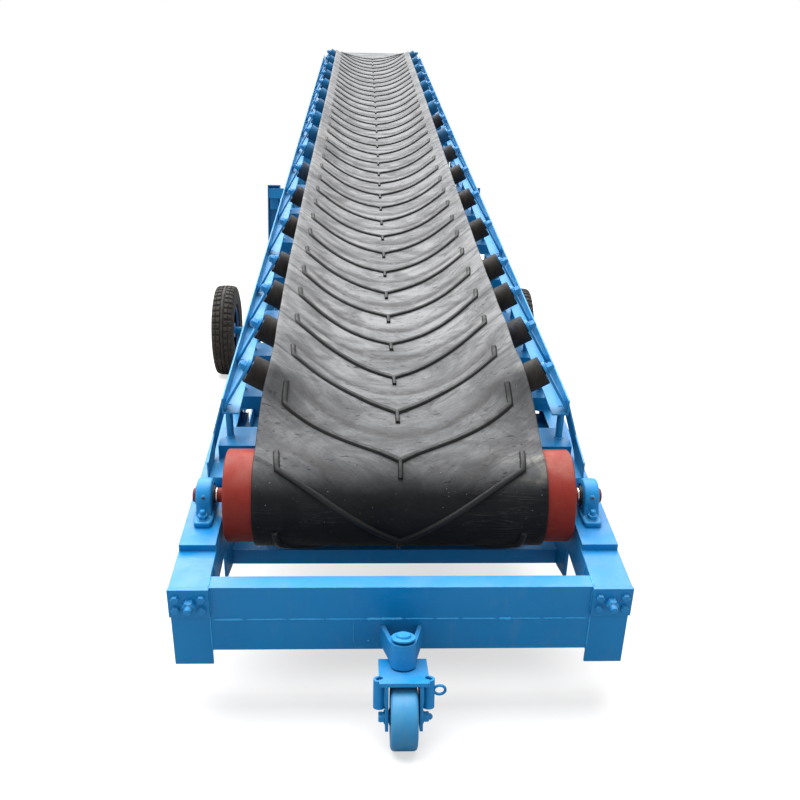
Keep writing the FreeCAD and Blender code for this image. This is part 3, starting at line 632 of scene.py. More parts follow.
@dataclass(frozen=True)
class RollerPaint(Finish):
    """Painted roller tube with the brown-black film that the belt leaves on it."""

    paint: Colour
    film: Colour = (0.0095, 0.009, 0.0087)
    worn: Colour = (0.042, 0.038, 0.033)
    rust: Colour = (0.0165, 0.014, 0.012)
    dust: Colour = (0.022, 0.02, 0.018)
    tail_y: float = -3.9
    head_y: float = 1.5
    roughness: float = 0.6
    specular: float = 0.1

    def coat(self, skin: Skin) -> None:
        """Film over the paint, heavier towards the tail, with turned marks and dust.

        Args:
            skin: the material being made.
        """
        place = skin.place()
        reach = skin.spread(skin.split(place)[1], self.tail_y, self.head_y, 0.3, -0.16)
        each = skin.cloud(skin.stretched(place, (0.6, 1.0, 0.6)), 2.3, 1.0, 0.5)
        fine = skin.cloud(place, 42.0, 5.0, 0.65, 0.3)
        heavy = skin.plus(skin.plus(each, reach), skin.times(fine, 0.25))
        edge = skin.edge(0.002, 80.0, 0.8)
        turned = skin.cloud(skin.stretched(place, (9.0, 1.0, 2.5)), 3.0, 3.0, 0.6)
        skin.give("Base Color", skin.layers(
            self.paint, (skin.spread(heavy, 0.5, 0.72), skin.mottle(self.film, self.rust, 20.0)),
            (edge["Mask"], self.rust), (skin.spread(turned, 0.4, 0.6, 0.0, 0.3), self.worn),
            (skin.dust(0.3, 14.0), self.dust)))
        skin.give("Roughness", skin.spread(fine, 0.3, 0.7, 0.5, 0.7))
        skin.bump(skin.plus(turned, fine), 0.0004, 0.4, edge["Normal"])


@dataclass(frozen=True)
class Steel(Finish):
    """Bare, plated or ground steel."""

    colour: Colour = (0.55, 0.56, 0.57)
    second: Colour = (0.4, 0.41, 0.42)
    rust: Colour = (0.19, 0.09, 0.045)
    rusting: float = 0.35
    roughness: float = 0.34
    specular: float = 0.5

    def coat(self, skin: Skin) -> None:
        """Metal with patches of rust.

        Args:
            skin: the material being made.
        """
        rusty = skin.cloud(skin.place(), 34.0, 6.0, 0.7, 0.4)
        rust = skin.times(skin.spread(rusty, 0.52, 0.68), self.rusting)
        skin.give("Base Color", skin.blend(rust, skin.mottle(self.colour, self.second, 60.0), self.rust))
        skin.give("Metallic", skin.minus(1.0, skin.times(rust, 0.8)))
        skin.give("Roughness", skin.spread(rusty, 0.35, 0.7, self.roughness - 0.08, self.roughness + 0.25))
        skin.bump(rusty, 0.0005, 0.3, skin.edge(0.0012, 120.0, 1.0)["Normal"])


@dataclass(frozen=True)
class Tread(Finish):
    """Tyre rubber, browned by soil in its grooves and on its side walls."""

    colour: Colour = (0.014, 0.0125, 0.011)
    second: Colour = (0.032, 0.028, 0.024)
    soil: Colour = (0.08, 0.066, 0.052)
    roughness: float = 0.75
    specular: float = 0.3

    def coat(self, skin: Skin) -> None:
        """Patches of soil and paler edges.

        Args:
            skin: the material being made.
        """
        patch = skin.cloud(skin.place(), 22.0, 6.0, 0.68, 0.5)
        edge = skin.edge(0.003, 70.0, 0.7)
        skin.give("Base Color", skin.layers(
            skin.mottle(self.colour, self.second, 13.0), (skin.spread(patch, 0.45, 0.75, 0.0, 0.65), self.soil),
            (edge["Mask"], self.second)))
        skin.give("Roughness", skin.spread(patch, 0.3, 0.7, 0.62, 0.9))
        skin.bump(skin.plus(skin.grain(700.0, 0.5), patch), 0.0009, 0.5, edge["Normal"])


@dataclass(frozen=True)
class Concrete(Finish):
    """The plain pale floor."""

    colour: Colour = (0.25, 0.25, 0.252)
    glow: Colour = (0.6, 0.6, 0.6)
    roughness: float = 0.9
    specular: float = 0.1

    def coat(self, skin: Skin) -> None:
        """Even floor that glows only where it is seen directly.

        Args:
            skin: the material being made.
        """
        cloud = skin.cloud(skin.place(), 0.6, 3.0, 0.5)
        skin.give("Base Color", skin.blend(cloud, self.colour, tuple(c * 0.985 for c in self.colour)))
        seen = skin.node("ShaderNodeLightPath").outputs["Is Camera Ray"]
        skin.give("Emission Color", skin.blend(seen, (0.0, 0.0, 0.0), self.glow))
        skin.give("Emission Strength", 1.0)


class Finishes:
    """Every finish of the machine, built once."""

    def __init__(self, slope: "Slope") -> None:
        """Build the shared effects and the materials.

        Args:
            slope: gives the belt's finish its own direction.
        """
        effects = Effects()
        blue, deep = (0.001, 0.168, 0.415), (0.0005, 0.143, 0.37)
        self.frame = Enamel("frame_enamel", blue, deep).build(effects)
        self.truss = Enamel("truss_enamel", (0.016, 0.215, 0.475), (0.011, 0.185, 0.43)).build(effects)
        self.weld = Enamel("weld_enamel", (0.022, 0.29, 0.6), (0.012, 0.23, 0.52), wear=1.0, radius=0.0015,
                           roughness=0.28, grain=160.0, waviness=1.6).build(effects)
        self.casting = Enamel("casting_enamel", (0.004, 0.19, 0.45), blue, radius=0.005, roughness=0.4,
                              grain=260.0, waviness=1.2).build(effects)
        self.hardware = Enamel("bolt_enamel", (0.004, 0.18, 0.43), deep, radius=0.002, wear=0.9,
                               roughness=0.38).build(effects)
        # The drum's pinkish soil colour lies on faces turned up: dust, and painted light that makes the drum's top
        # lighter.
        self.drum = Enamel("drum_enamel", (0.19, 0.02, 0.014), (0.145, 0.014, 0.01), (0.24, 0.09, 0.07),
                           (0.27, 0.14, 0.115), dust=0.5, radius=0.004, roughness=0.5, specular=0.1).build(effects)
        self.rim = Enamel("rim_enamel", (0.007, 0.12, 0.33), (0.006, 0.09, 0.25), dust=0.5,
                          roughness=0.45).build(effects)
        self.caster = Enamel("caster_wheel_enamel", (0.016, 0.165, 0.36), (0.045, 0.205, 0.36), (0.16, 0.17, 0.19),
                             dust=0.25, wear=0.8, radius=0.004, roughness=0.36).build(effects)
        self.roller = RollerPaint("roller_film", (0.002, 0.1, 0.24)).build(effects)
        self.return_roller = RollerPaint("return_roller_film", (0.007, 0.12, 0.33), tail_y=-4.0,
                                         head_y=6.0).build(effects)
        self.cap = Enamel("roller_cap_enamel", (0.006, 0.11, 0.3), (0.01, 0.03, 0.06), dust=0.5,
                          radius=0.0015).build(effects)
        self.belt = BeltRubber("belt_face", slope.angle, tuple(slope.tail)).build(effects)
        self.cleat = Rubber("cleat_rubber", (0.005, 0.0055, 0.006), (0.01, 0.0105, 0.0115), (0.028, 0.028, 0.029),
                            dust=0.3, roughness=0.5, specular=0.2).build(effects)
        self.tyre = Tread("tyre_tread").build(effects)
        self.zinc = Steel("zinc_plate").build(effects)
        self.bright = Steel("ground_steel", (0.75, 0.75, 0.74), (0.62, 0.62, 0.62), rusting=0.1,
                            roughness=0.2).build(effects)
        self.chrome = Steel("rod_plate", (0.8, 0.81, 0.82), (0.7, 0.71, 0.72), rusting=0.0,
                            roughness=0.1).build(effects)
        self.seal = Rubber("seal_rubber", (0.012, 0.012, 0.013), (0.02, 0.02, 0.02), dust=0.2).build(effects)
        self.floor = Concrete("pale_floor").build(effects)


# ---------------------------------------------------------------- meshes
def circle(sides: int, radius: float = 1.0) -> list[Pair]:
    """Points spread evenly round a circle."""
    turn = [2 * math.pi * k / sides for k in range(sides)]
    return [(radius * math.cos(a), radius * math.sin(a)) for a in turn]


def facing(side: int) -> Matrix:
    """Turn that points the local z axis to the right for 1, to the left for -1."""
    return TURN_Z_TO_X if side > 0 else TURN_Z_TO_X.inverted()


def moved(x: float, y: float, z: float) -> Matrix:
    """A shift."""
    return Matrix.Translation((x, y, z))


def spun(angle: float, axis: str = "X") -> Matrix:
    """A turn about an axis, in radians."""
    return Matrix.Rotation(angle, 4, axis)


class Solid:
    """Points and faces of a piece being made, with a finish number for each face."""

    def __init__(self) -> None:
        """Start with nothing."""
        self.points: list[Vector] = []
        self.faces: list[tuple[int, ...]] = []
        self.numbers: list[int] = []

    def grid(self, rows: Sequence[Sequence[Vector]], numbers: int | Sequence[int] = 0, loop: bool = False,
             place: Matrix | None = None) -> None:
        """Skin a list of rows of points, where each row closes on itself.

        Args:
            rows: rows of as many points each.
            numbers: finish number, or one for each gap between rows.
            loop: the last row joins the first; without it, a face closes each end.
            place: where the points go.
        """
        first, across, count = len(self.points), len(rows[0]), len(rows)
        matrix = place or Matrix.Identity(4)
        self.points += [matrix @ Vector(p) for row in rows for p in row]
        kinds: list[int] = []
        for i in range(count if loop else count - 1):
            here, after = first + i * across, first + (i + 1) % count * across
            for k in range(across):
                m = (k + 1) % across
                self.faces.append((here + k, here + m, after + m, after + k))
                kinds.append(numbers if isinstance(numbers, int) else numbers[i])
        if not loop:
            last = first + (count - 1) * across
            self.faces += [tuple(reversed(range(first, first + across))), tuple(range(last, last + across))]
            kinds += [kinds[0], kinds[-1]]
        self.numbers += kinds

    def lathe(self, outline: Sequence[Pair], place: Matrix, sides: int = 32,
              numbers: int | Sequence[int] = 0) -> None:
        """Turn an outline about the local z axis.

        Args:
            outline: (z, radius) of each station.
            place: where the turned shape goes.
            sides: points round it.
            numbers: finish number, or one for each gap between stations.
        """
        self.grid([[Vector((x, y, z)) for x, y in circle(sides, radius)] for z, radius in outline], numbers,
                  place=place)

    def twin(self, half: Sequence[Pair], place: Matrix, sides: int, kinds: Sequence[int] = ()) -> None:
        """Turn a shape whose two ends are the same.

        Args:
            half: (z, radius) of each station, from the end inwards.
            place: where its middle goes.
            sides: points round it.
            kinds: finish number of each gap in the half, where they are not all 0.
        """
        outline = [(-z, radius) for z, radius in half] + list(reversed(half))
        self.lathe(outline, place, sides, [*kinds, 0, *reversed(kinds)] if kinds else 0)

    def block(self, size: tuple[float, float, float], place: Matrix, number: int = 0, chamfer: float = 0.001) -> None:
        """Chamfered block centred on its place.

        Args:
            size: full length along each local axis.
            place: where its centre goes.
            number: finish number.
            chamfer: width of the chamfer round every edge.
        """
        a, b, c = (s / 2 for s in size)
        e = min(chamfer, a, b, c)
        corners = [(-a + e, -b), (a - e, -b), (a, -b + e), (a, b - e), (a - e, b), (-a + e, b), (-a, b - e),
                   (-a, -b + e)]
        inner = [(math.copysign(a - e, x), math.copysign(b - e, y)) for x, y in corners]
        levels = ((inner, -c), (corners, -c + e), (corners, c - e), (inner, c))
        self.grid([[Vector((*p, z)) for p in outline] for outline, z in levels], number, place=place)

    def hoop(self, path: Sequence[Vector], radius: float, up: Vector) -> None:
        """Thin bar of six sides along a closed path.

        Args:
            path: the path's points.
            radius: the bar's radius.
            up: a direction that the path never takes.
        """
        rows = []
        for i, here in enumerate(path):
            ahead = (path[(i + 1) % len(path)] - path[i - 1]).normalized()
            side = ahead.cross(up).normalized()
            rise = side.cross(ahead).normalized()
            rows.append([here + side * a + rise * b for a, b in circle(6, radius)])
        self.grid(rows, loop=True)

    def weld(self, start: Vector, end: Vector, radius: float, seed: int, number: int = 0) -> None:
        """Bead of weld between two points, rippled and a little uneven.

        Args:
            start: where the bead begins.
            end: where it ends.
            radius: the bead's mean radius.
            seed: sets its unevenness.
            number: finish number.
        """
        pick = random.Random(seed)
        run = end - start
        steps = max(4, int(run.length / (radius * 1.1)))
        axis = run.normalized()
        side = axis.orthogonal().normalized()
        rise = axis.cross(side)
        rows = []
        swell = 1.0
        for i in range(steps + 1):
            share = i / steps
            swell += (pick.uniform(0.75, 1.3) - swell) * 0.5
            size = radius * swell * (1.0 + 0.16 * math.cos(i * math.pi)) * min(1.0, 0.35 + 6 * min(share, 1 - share))
            shift = side * pick.uniform(-0.16, 0.16) * radius + rise * pick.uniform(-0.16, 0.16) * radius
            here = start + run * share + shift
            rows.append([here + (side * a + rise * b) * size for a, b in circle(7)])
        self.grid(rows, number)

    def hexagon(self, across: float, low: float, high: float, place: Matrix, number: int = 0) -> None:
        """Hexagon nut or bolt head with rounded-off corners.

        Args:
            across: width across its flats.
            low: z of its seat.
            high: z of its top.
            place: where it goes.
            number: finish number.
        """
        radius = across / math.sqrt(3)
        self.lathe([(low, radius), (low + (high - low) * 0.82, radius), (high, radius * 0.87)], place, 6, number)

    def bolt(self, place: Matrix, thread: float, rise: float = 0.0, number: int = 0, washer: bool = True,
             dome: bool = False) -> None:
        """Washer, hexagon and, where it stands out, the threaded end.

        Args:
            place: seat of the washer, with local z outwards.
            thread: diameter of the thread.
            rise: how far the threaded end stands out of the nut.
            number: finish number.
            washer: whether there is one.
            dome: round the threaded end over.
        """
        seat = 0.0
        if washer:
            seat = thread * 0.17
            self.lathe([(0.0, thread * 0.5), (0.0, thread * 1.0), (seat * 0.8, thread * 1.02), (seat, thread * 0.97),
                        (seat, thread * 0.5)], place, 24, number)
        top = seat + thread * 0.8
        self.hexagon(thread * 1.5, seat, top, place, number)
        if rise:
            rings = [(top - 0.001, thread * 0.47)]
            turns = max(2, int(rise / 0.003))
            for k in range(turns):
                z = top + rise * (k + 0.5) / turns
                rings += [(z - rise * 0.25 / turns, thread * 0.49), (z + rise * 0.25 / turns, thread * 0.44)]
            rings += [(top + rise + (thread * 0.2 if dome else 0.0), thread * (0.2 if dome else 0.4))]
            self.lathe(rings, place, 16, number)

    def make(self, name: str, body: Body, finishes: Sequence[bpy.types.Material], slot: Slot = Slot.FRAME_PAINT,
             stands_for: Sequence[str] = (), sharp: float = 40.0) -> None:
        """Turn the points and faces into a piece that rides on a body.

        Args:
            name: the piece's name.
            body: the body it rides on.
            finishes: its materials, in the order of the finish numbers.
            slot: the record's material slot it belongs to; not used.
            stands_for: CAD nodes that it replaces.
            sharp: edges that turn more than this many degrees stay sharp.
        """
        mesh = bpy.data.meshes.new(name)
        mesh.from_pydata([tuple(p) for p in self.points], [], self.faces)
        mesh.polygons.foreach_set("material_index", self.numbers)
        work = bmesh.new()
        work.from_mesh(mesh)
        bmesh.ops.remove_doubles(work, verts=work.verts, dist=MERGE)
        bmesh.ops.recalc_face_normals(work, faces=work.faces)
        work.to_mesh(mesh)
        work.free()
        mesh.shade_smooth()
        mesh.set_sharp_from_angle(angle=math.radians(sharp))
        for finish in finishes:
            mesh.materials.append(finish)
        piece = bpy.data.objects.new(name, mesh)
        bpy.context.scene.collection.objects.link(piece)
        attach(piece, body.value)
        if stands_for:
            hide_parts(*stands_for)
        LOG.info("%s: %d faces on %s", name, len(self.faces), body.value)


def dress(material: bpy.types.Material, *names: str) -> None:
    """Give CAD nodes a finish.

    Args:
        material: the finish.
        names: the nodes.
    """
    for name in names:
        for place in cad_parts[name].material_slots:
            place.material = material


def middle(name: str) -> Vector:
    """Middle of a CAD node's box."""
    low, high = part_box(name)
    return (low + high) / 2


@dataclass(frozen=True)
class Slope:
    """The belt's own frame: x across, u up the slope from the tail drum's axis, v square to it."""

    tail: Vector
    angle: float
    length: float

    @classmethod
    def from_drums(cls) -> "Slope":
        """Find the slope from the two drums.

        Returns:
            The slope.
        """
        tail, head = middle("tail_drum"), middle("head_drum")
        run = head - tail
        return cls(tail, math.atan2(run.z, run.y), math.hypot(run.y, run.z))

    def at(self, x: float, u: float, v: float) -> Vector:
        """Point of the machine's frame at (x, u, v)."""
        c, s = math.cos(self.angle), math.sin(self.angle)
        return Vector((x, self.tail.y + u * c - v * s, self.tail.z + u * s + v * c))

    def matrix(self, x: float, u: float, v: float) -> Matrix:
        """Place at (x, u, v) whose local axes are x, u and v."""
        return Matrix.Translation(self.at(x, u, v)) @ spun(self.angle)

    def weld(self, solid: Solid, start: Sequence[float], end: Sequence[float], radius: float, seed: int) -> None:
        """Bead of weld between two (x, u, v) points."""
        solid.weld(self.at(*start), self.at(*end), radius, seed)


@dataclass
class Assembly(ABC):
    """A sub-assembly, with the finishes that it uses."""

    finishes: Finishes

    @abstractmethod
    def build(self) -> None:
        """Make its pieces and dress its nodes."""


@dataclass
class Inclined(Assembly):
    """A sub-assembly that lies along the slope."""

    slope: Slope


# ---------------------------------------------------------------- belt
def held(value: float) -> float:
    """The value, held between 0 and 1."""
    return min(1.0, max(0.0, value))


def eased(value: float) -> float:
    """A share from 0 to 1 with a gentle start and end."""
    return value * value * (3 - 2 * value)


@dataclass
class Belt(Inclined):
    """Endless belt with chevron cleats, troughed on the carrying run."""

    rollers: list[float]
    return_rollers: list[float]
    half_width: float = 0.4
    thickness: float = 0.01
    outer: float = 0.14
    flat: float = 0.1575
    trough: float = math.radians(30.0)
    rise: float = 0.02
    corner: float = 0.115
    corner_steps: int = 10
    roller_radius: float = 0.0445
    sags: tuple[float, ...] = (0.012, 0.006, 0.004, 0.0035)
    far_sag: float = 0.003
    wander: float = 0.0115
    wander_grows: float = 1.3
    wander_ends: Pair = (2.0, 5.0)
    lead: float = 0.012
    lift_power: float = 1.6
    cleat_pitch: float = 0.251
    first_tip: float = -0.041
    first_cleat: int = -38
    last_cleat: int = 34
    cleat_half: float = 0.333
    cleat_rise: float = 0.221
    cleat_stem: float = 0.058
    cleat_hook: float = 0.068
    stem_width: float = 0.014
    cleat_width: float = 0.0185
    cleat_height: float = 0.0085
    cleat_step: float = 0.018

    @property
    def half_turn(self) -> float:
        """Length of the belt's outer face round half a drum."""
        return math.pi * self.outer

    def share(self, u: float) -> float:
        """How far the belt is troughed.

        Args:
            u: place along the slope.

        Returns:
            The share from 0 to 1.
        """
        start, end = self.rollers[0] - self.lead, self.rollers[-1] + self.roller_radius
        if u < start:
            return max(0.0, u / start) ** self.lift_power
        t = held((self.slope.length - u) / (self.slope.length - end))
        return eased(t) * 0.35 + t * 0.65

    def drop(self, u: float) -> float:
        """How far the belt sags between two idler sets.

        Args:
            u: place along the slope.

        Returns:
            The sag there.
        """
        for index, (low, high) in enumerate(zip(self.rollers[:-1], self.rollers[1:])):
            if low < u < high:
                deep = self.sags[index] if index < len(self.sags) else self.far_sag
                return deep * math.sin(math.pi * (u - low) / (high - low)) ** 2
        return 0.0

    def stray(self, u: float) -> float:
        """How far the belt runs off its centre line at u."""
        start, end = held(u / self.wander_grows), held((u - self.wander_ends[0]) / self.wander_ends[1])
        return -self.wander * eased(start) * (1.0 - eased(end))

    def across(self, t: float, u: float) -> tuple[float, float, float]:
        """Section of the carrying run.

        Args:
            t: distance from the centre line along the belt's width.
            u: place along the slope.

        Returns:
            x, v and the tilt of the surface there.
        """
        share = self.share(u)
        lift = self.trough * share
        top = self.outer + self.rise * share - self.drop(u)
        reach = abs(t)
        low, high = self.flat - self.corner, self.flat + self.corner
        x, v, tilt = reach, top, 0.0
        if reach > low:
            x = low
            arc = min(reach, high) - low
            for k in range(self.corner_steps):
                tilt = lift * ((k + 0.5) / self.corner_steps * arc / (2 * self.corner))
                x += math.cos(tilt) * arc / self.corner_steps
                v += math.sin(tilt) * arc / self.corner_steps
            tilt = lift * arc / (2 * self.corner)
            if reach > high:
                x += math.cos(lift) * (reach - high)
                v += math.sin(lift) * (reach - high)
                tilt = lift
        side = 1 if t >= 0 else -1
        return side * x, v, side * tilt

    def at(self, s: float, t: float, h: float) -> Vector:
        """Point on or above the belt's outer face.

        Args:
            s: distance along the belt from the top of the tail drum, up the carrying run.
            t: distance from the centre line along the width.
            h: height above the outer face.

        Returns:
            The point in the machine's frame.
        """
        length, half_turn = self.slope.length, self.half_turn
        loop = 2 * (length + half_turn)
        s = (s + half_turn + length / 2) % loop - half_turn - length / 2
        if 0.0 <= s <= length:
            x, v, tilt = self.across(t, s)
            return self.slope.at(x + self.stray(s) - math.sin(tilt) * h, s, v + math.cos(tilt) * h)
        axis, way, past = (0.0, -1, -s) if s < 0.0 else (length, 1, s - length)
        a, r = past / self.outer, self.outer + h
        if a <= math.pi:
            return self.slope.at(t, axis + way * r * math.sin(a), r * math.cos(a))
        return self.slope.at(t, axis - way * (past - half_turn), -r)

    def stations(self) -> list[float]:
        """Places along the whole loop where the mesh has a row.

        Returns:
            Distance of each row from the top of the tail drum, closer where the belt bends.
        """
        length, half_turn = self.slope.length, self.half_turn
        start, close, wide, wrap, back = 0.5, 0.02, 0.04, 26, 60
        rows = [i * close for i in range(int(start / close))]
        rows += [start + i * wide for i in range(int((length - 2 * start) / wide))]
        rows += [length - 0.54 + i * 0.03 for i in range(18)]
        rows += [length + half_turn * i / wrap for i in range(wrap)]
        rows += [length + half_turn + length * i / back for i in range(back)]
        rows += [2 * length + half_turn + half_turn * i / wrap for i in range(wrap)]
        return rows

    def band(self) -> None:
        """The belt itself, with rounded edges."""
        half = self.half_width
        spots = [-half + 0.004, -half + 0.02] + [-0.36 + 0.02 * i for i in range(37)] + [half - 0.02, half - 0.004]
        edge = [(half - 0.001, -0.002), (half, -0.005), (half - 0.001, -0.008)]
        section = [(t, 0.0) for t in spots] + edge + [(t, -self.thickness) for t in reversed(spots)]
        section += [(-t, h) for t, h in reversed(edge)]
        solid = Solid()
        solid.grid([[self.at(s, t, h) for t, h in section] for s in self.stations()], loop=True)
        solid.make("belt_band", Body.FRAME, [self.finishes.belt], Slot.BELT_RUBBER, ["belt"], sharp=60)

    def room_under(self, s: float) -> float:
        """Height that a cleat keeps, pressed down where it passes a return roller.

        Args:
            s: distance along the belt.

        Returns:
            The height there.
        """
        length, half_turn = self.slope.length, self.half_turn
        u = -s - half_turn if s < 0 else 2 * length + half_turn - s
        least = self.cleat_height
        if s < -half_turn or s > length + half_turn:
            for place in self.return_rollers:
                gap = abs(u - place)
                if gap < self.roller_radius:
                    bow = self.roller_radius - math.sqrt(self.roller_radius ** 2 - gap ** 2)
                    least = min(least, max(0.0004, bow))
        return least

    def rib(self, solid: Solid, line: Sequence[Pair], wide: float) -> None:
        """Raised rib along a line on the belt.

        Args:
            solid: gets the rib.
            line: (s, t) corners of the rib's middle line.
            wide: width at its foot.
        """
        path: list[Pair] = []
        for (s0, t0), (s1, t1) in zip(line[:-1], line[1:]):
            steps = max(1, int(math.hypot(s1 - s0, t1 - t0) / self.cleat_step))
            path += [(s0 + (s1 - s0) * k / steps, t0 + (t1 - t0) * k / steps) for k in range(steps)]
        path.append(line[-1])
        last = len(path) - 1
        rows = []
        for i, (s, t) in enumerate(path):
            a, b = path[max(0, i - 1)], path[min(last, i + 1)]
            run = Vector((b[0] - a[0], b[1] - a[1])).normalized()
            high = self.room_under(s)
            left = [(-0.5, -0.0008), (-0.44, high * 0.25), (-0.36, high * 0.86), (-0.27, high)]
            back = Vector((0.0, 0.0)) if 0 < i < last else run * (0.0015 if i == 0 else -0.0015)
            row = []
            for off, h in left + [(-off, h) for off, h in reversed(left)]:
                pull = back * (h / self.cleat_height)
                row.append(self.at(s - run.y * off * wide + pull.x, t + run.x * off * wide + pull.y, h))
            rows.append(row)
        solid.grid(rows)

    def cleats(self) -> None:
        """Every chevron: two arms with hooked ends and a stem at the middle."""
        solid = Solid()
        for number in range(self.first_cleat, self.last_cleat + 1):
            tip = self.first_tip + number * self.cleat_pitch
            end = tip + self.cleat_rise
            for side in SIDES:
                self.rib(solid, [(tip, side * 0.001), (end, side * self.cleat_half),
                                 (end + self.cleat_hook, side * (self.cleat_half + 0.006))], self.cleat_width)
            self.rib(solid, [(tip + 0.006, 0.0), (tip - self.cleat_stem, 0.0)], self.stem_width)
        solid.make("belt_cleats", Body.FRAME, [self.finishes.cleat], Slot.BELT_RUBBER, sharp=50)

    def build(self) -> None:
        """Make the band and its cleats."""
        self.band()
        self.cleats()


# ---------------------------------------------------------------- rollers
@dataclass
class Rollers(Inclined):
    """Idler and return rollers: tube with pressed end caps, seals and spindle."""

    stations: list[float]
    return_stations: list[float]
    radius: float = 0.0445
    spindle: float = 0.01
    centre_half: float = 0.1575
    wing_face: float = 0.285
    wing_start: float = 0.01
    trough: float = math.radians(30.0)
    trough_top: float = 0.16
    belt_thickness: float = 0.01
    rest: float = 0.0003
    outer: float = 0.14
    return_half: float = 0.475
    nut: Pair = (0.018, 0.004)

    def turned(self, solid: Solid, start: Vector, end: Vector, reach: float) -> None:
        """One roller between two points.

        Args:
            solid: gets the roller.
            start: centre of one end face.
            end: centre of the other.
            reach: how far the spindle stands out.
        """
        run = end - start
        half, r, pin = run.length / 2, self.radius, self.spindle
        cap = [(half + reach, pin * 0.8), (half + reach - 0.001, pin), (half + 0.002, pin), (half + 0.002, 0.015),
               (half - 0.001, 0.0185), (half - 0.004, 0.0195), (half - 0.004, 0.026), (half - 0.0075, 0.031),
               (half - 0.008, 0.0395), (half - 0.001, 0.0415), (half, 0.0425), (half - 0.0005, 0.0437),
               (half - 0.002, r)]
        place = Matrix.Translation((start + end) / 2) @ run.to_track_quat("Z", "Y").to_matrix().to_4x4()
        solid.twin(cap, place, 28, [2, 2, 3, 3, 1, 1, 1, 1, 1, 1, 0, 0])

    def wing_point(self, along: float) -> Pair:
        """Point on a right wing roller's axis.

        Args:
            along: distance from the bend between the rollers.

        Returns:
            Its x and v.
        """
        corner = self.centre_half + self.belt_thickness * math.tan(self.trough / 2)
        depth = self.radius + self.rest
        x = corner + depth * math.sin(self.trough) + along * math.cos(self.trough)
        v = self.trough_top - self.belt_thickness - depth * math.cos(self.trough) + along * math.sin(self.trough)
        return x, v

    def series(self, name: str, node: str, film: bpy.types.Material, ends: Sequence[tuple[float, float]],
               places: Sequence[float], reach: float) -> None:
        """A row of rollers in the place of their CAD node.

        Args:
            name: the piece's name.
            node: the CAD node.
            film: finish of the tubes.
            ends: (x, v) of the two end faces.
            places: where the rollers are along the slope.
            reach: how far the spindles stand out.
        """
        solid = Solid()
        (x0, v0), (x1, v1) = ends
        for u in places:
            self.turned(solid, self.slope.at(x0, u, v0), self.slope.at(x1, u, v1), reach)
        kinds = [film, self.finishes.cap, self.finishes.zinc, self.finishes.seal]
        solid.make(name, Body.FRAME, kinds, Slot.ROLLER_PAINT, [node])

    def spindle_nuts(self, under: float) -> None:
        """Washers and nuts outside the wing brackets and the return hangers.

        Args:
            under: v of the return rollers' axis.
        """
        nuts = Solid()
        x, v = self.wing_point(self.wing_start + self.wing_face + 0.0118)
        for u in self.stations:
            for side in SIDES:
                tilt = spun(-side * self.trough, "Y") @ facing(side)
                nuts.bolt(self.slope.matrix(side * x, u, v) @ tilt, *self.nut)
        for u in self.return_stations:
            for side in SIDES:
                nuts.bolt(self.slope.matrix(side * (self.return_half + 0.0112), u, under) @ facing(side), *self.nut)
        nuts.make("spindle_nuts", Body.FRAME, [self.finishes.hardware])

    def build(self) -> None:
        """Make every roller in the place of its CAD node."""
        film = self.finishes.roller
        axis = self.trough_top - self.belt_thickness - self.radius - self.rest
        half = self.centre_half
        self.series("centre_roller_tubes", "centre_rollers", film, [(-half, axis), (half, axis)], self.stations, 0.009)
        wing = [self.wing_point(self.wing_start), self.wing_point(self.wing_start + self.wing_face)]
        for side in Side:
            ends = [(side.value * x, v) for x, v in wing]
            self.series(f"wing_roller_tubes_{side.word}", f"wing_rollers_{side.word}", film, ends, self.stations, 0.02)
        under = -self.outer - self.radius - self.rest
        half = self.return_half
        self.series("return_roller_tubes", "return_rollers", self.finishes.return_roller,
                    [(-half, under), (half, under)], self.return_stations, 0.014)
        self.spindle_nuts(under)


# ---------------------------------------------------------------- tail
@dataclass
class TailDrum(Inclined):
    """Tail drum with dished ends, hub bosses, shaft and collars."""

    radius: float = 0.13
    half_face: float = 0.478
    shaft: float = 0.02
    shaft_end: float = 0.575

    def build(self) -> None:
        """Make the drum in the place of its CAD node."""
        half, r, shaft = self.half_face, self.radius, self.shaft
        ends = [(self.shaft_end, shaft * 0.82), (self.shaft_end - 0.002, shaft * 0.98), (0.5115, shaft * 0.98),
                (0.507, shaft), (half + 0.012, shaft), (half + 0.012, 0.034), (half + 0.008, 0.037),
                (half - 0.012, 0.04), (half - 0.016, 0.052), (half - 0.017, r - 0.03), (half - 0.014, r - 0.022),
                (half - 0.011, r - 0.018), (half - 0.012, r - 0.012), (half - 0.002, r - 0.011), (half, r - 0.009),
                (half, r - 0.003), (half - 0.003, r)]
        collar = [(0.5065, shaft), (0.5065, 0.0215), (0.5075, 0.0222), (0.5095, 0.0222), (0.5105, 0.0215),
                  (0.5105, shaft)]
        solid = Solid()
        place = self.slope.matrix(0, 0, 0)
        solid.twin(ends, place @ TURN_Z_TO_X, 96)
        for side in SIDES:
            solid.lathe(collar, place @ facing(side), 40, 1)
        solid.make("tail_drum_shell", Body.FRAME, [self.finishes.drum, self.finishes.bright], Slot.DRUM_PAINT,
                   ["tail_drum"], sharp=30)


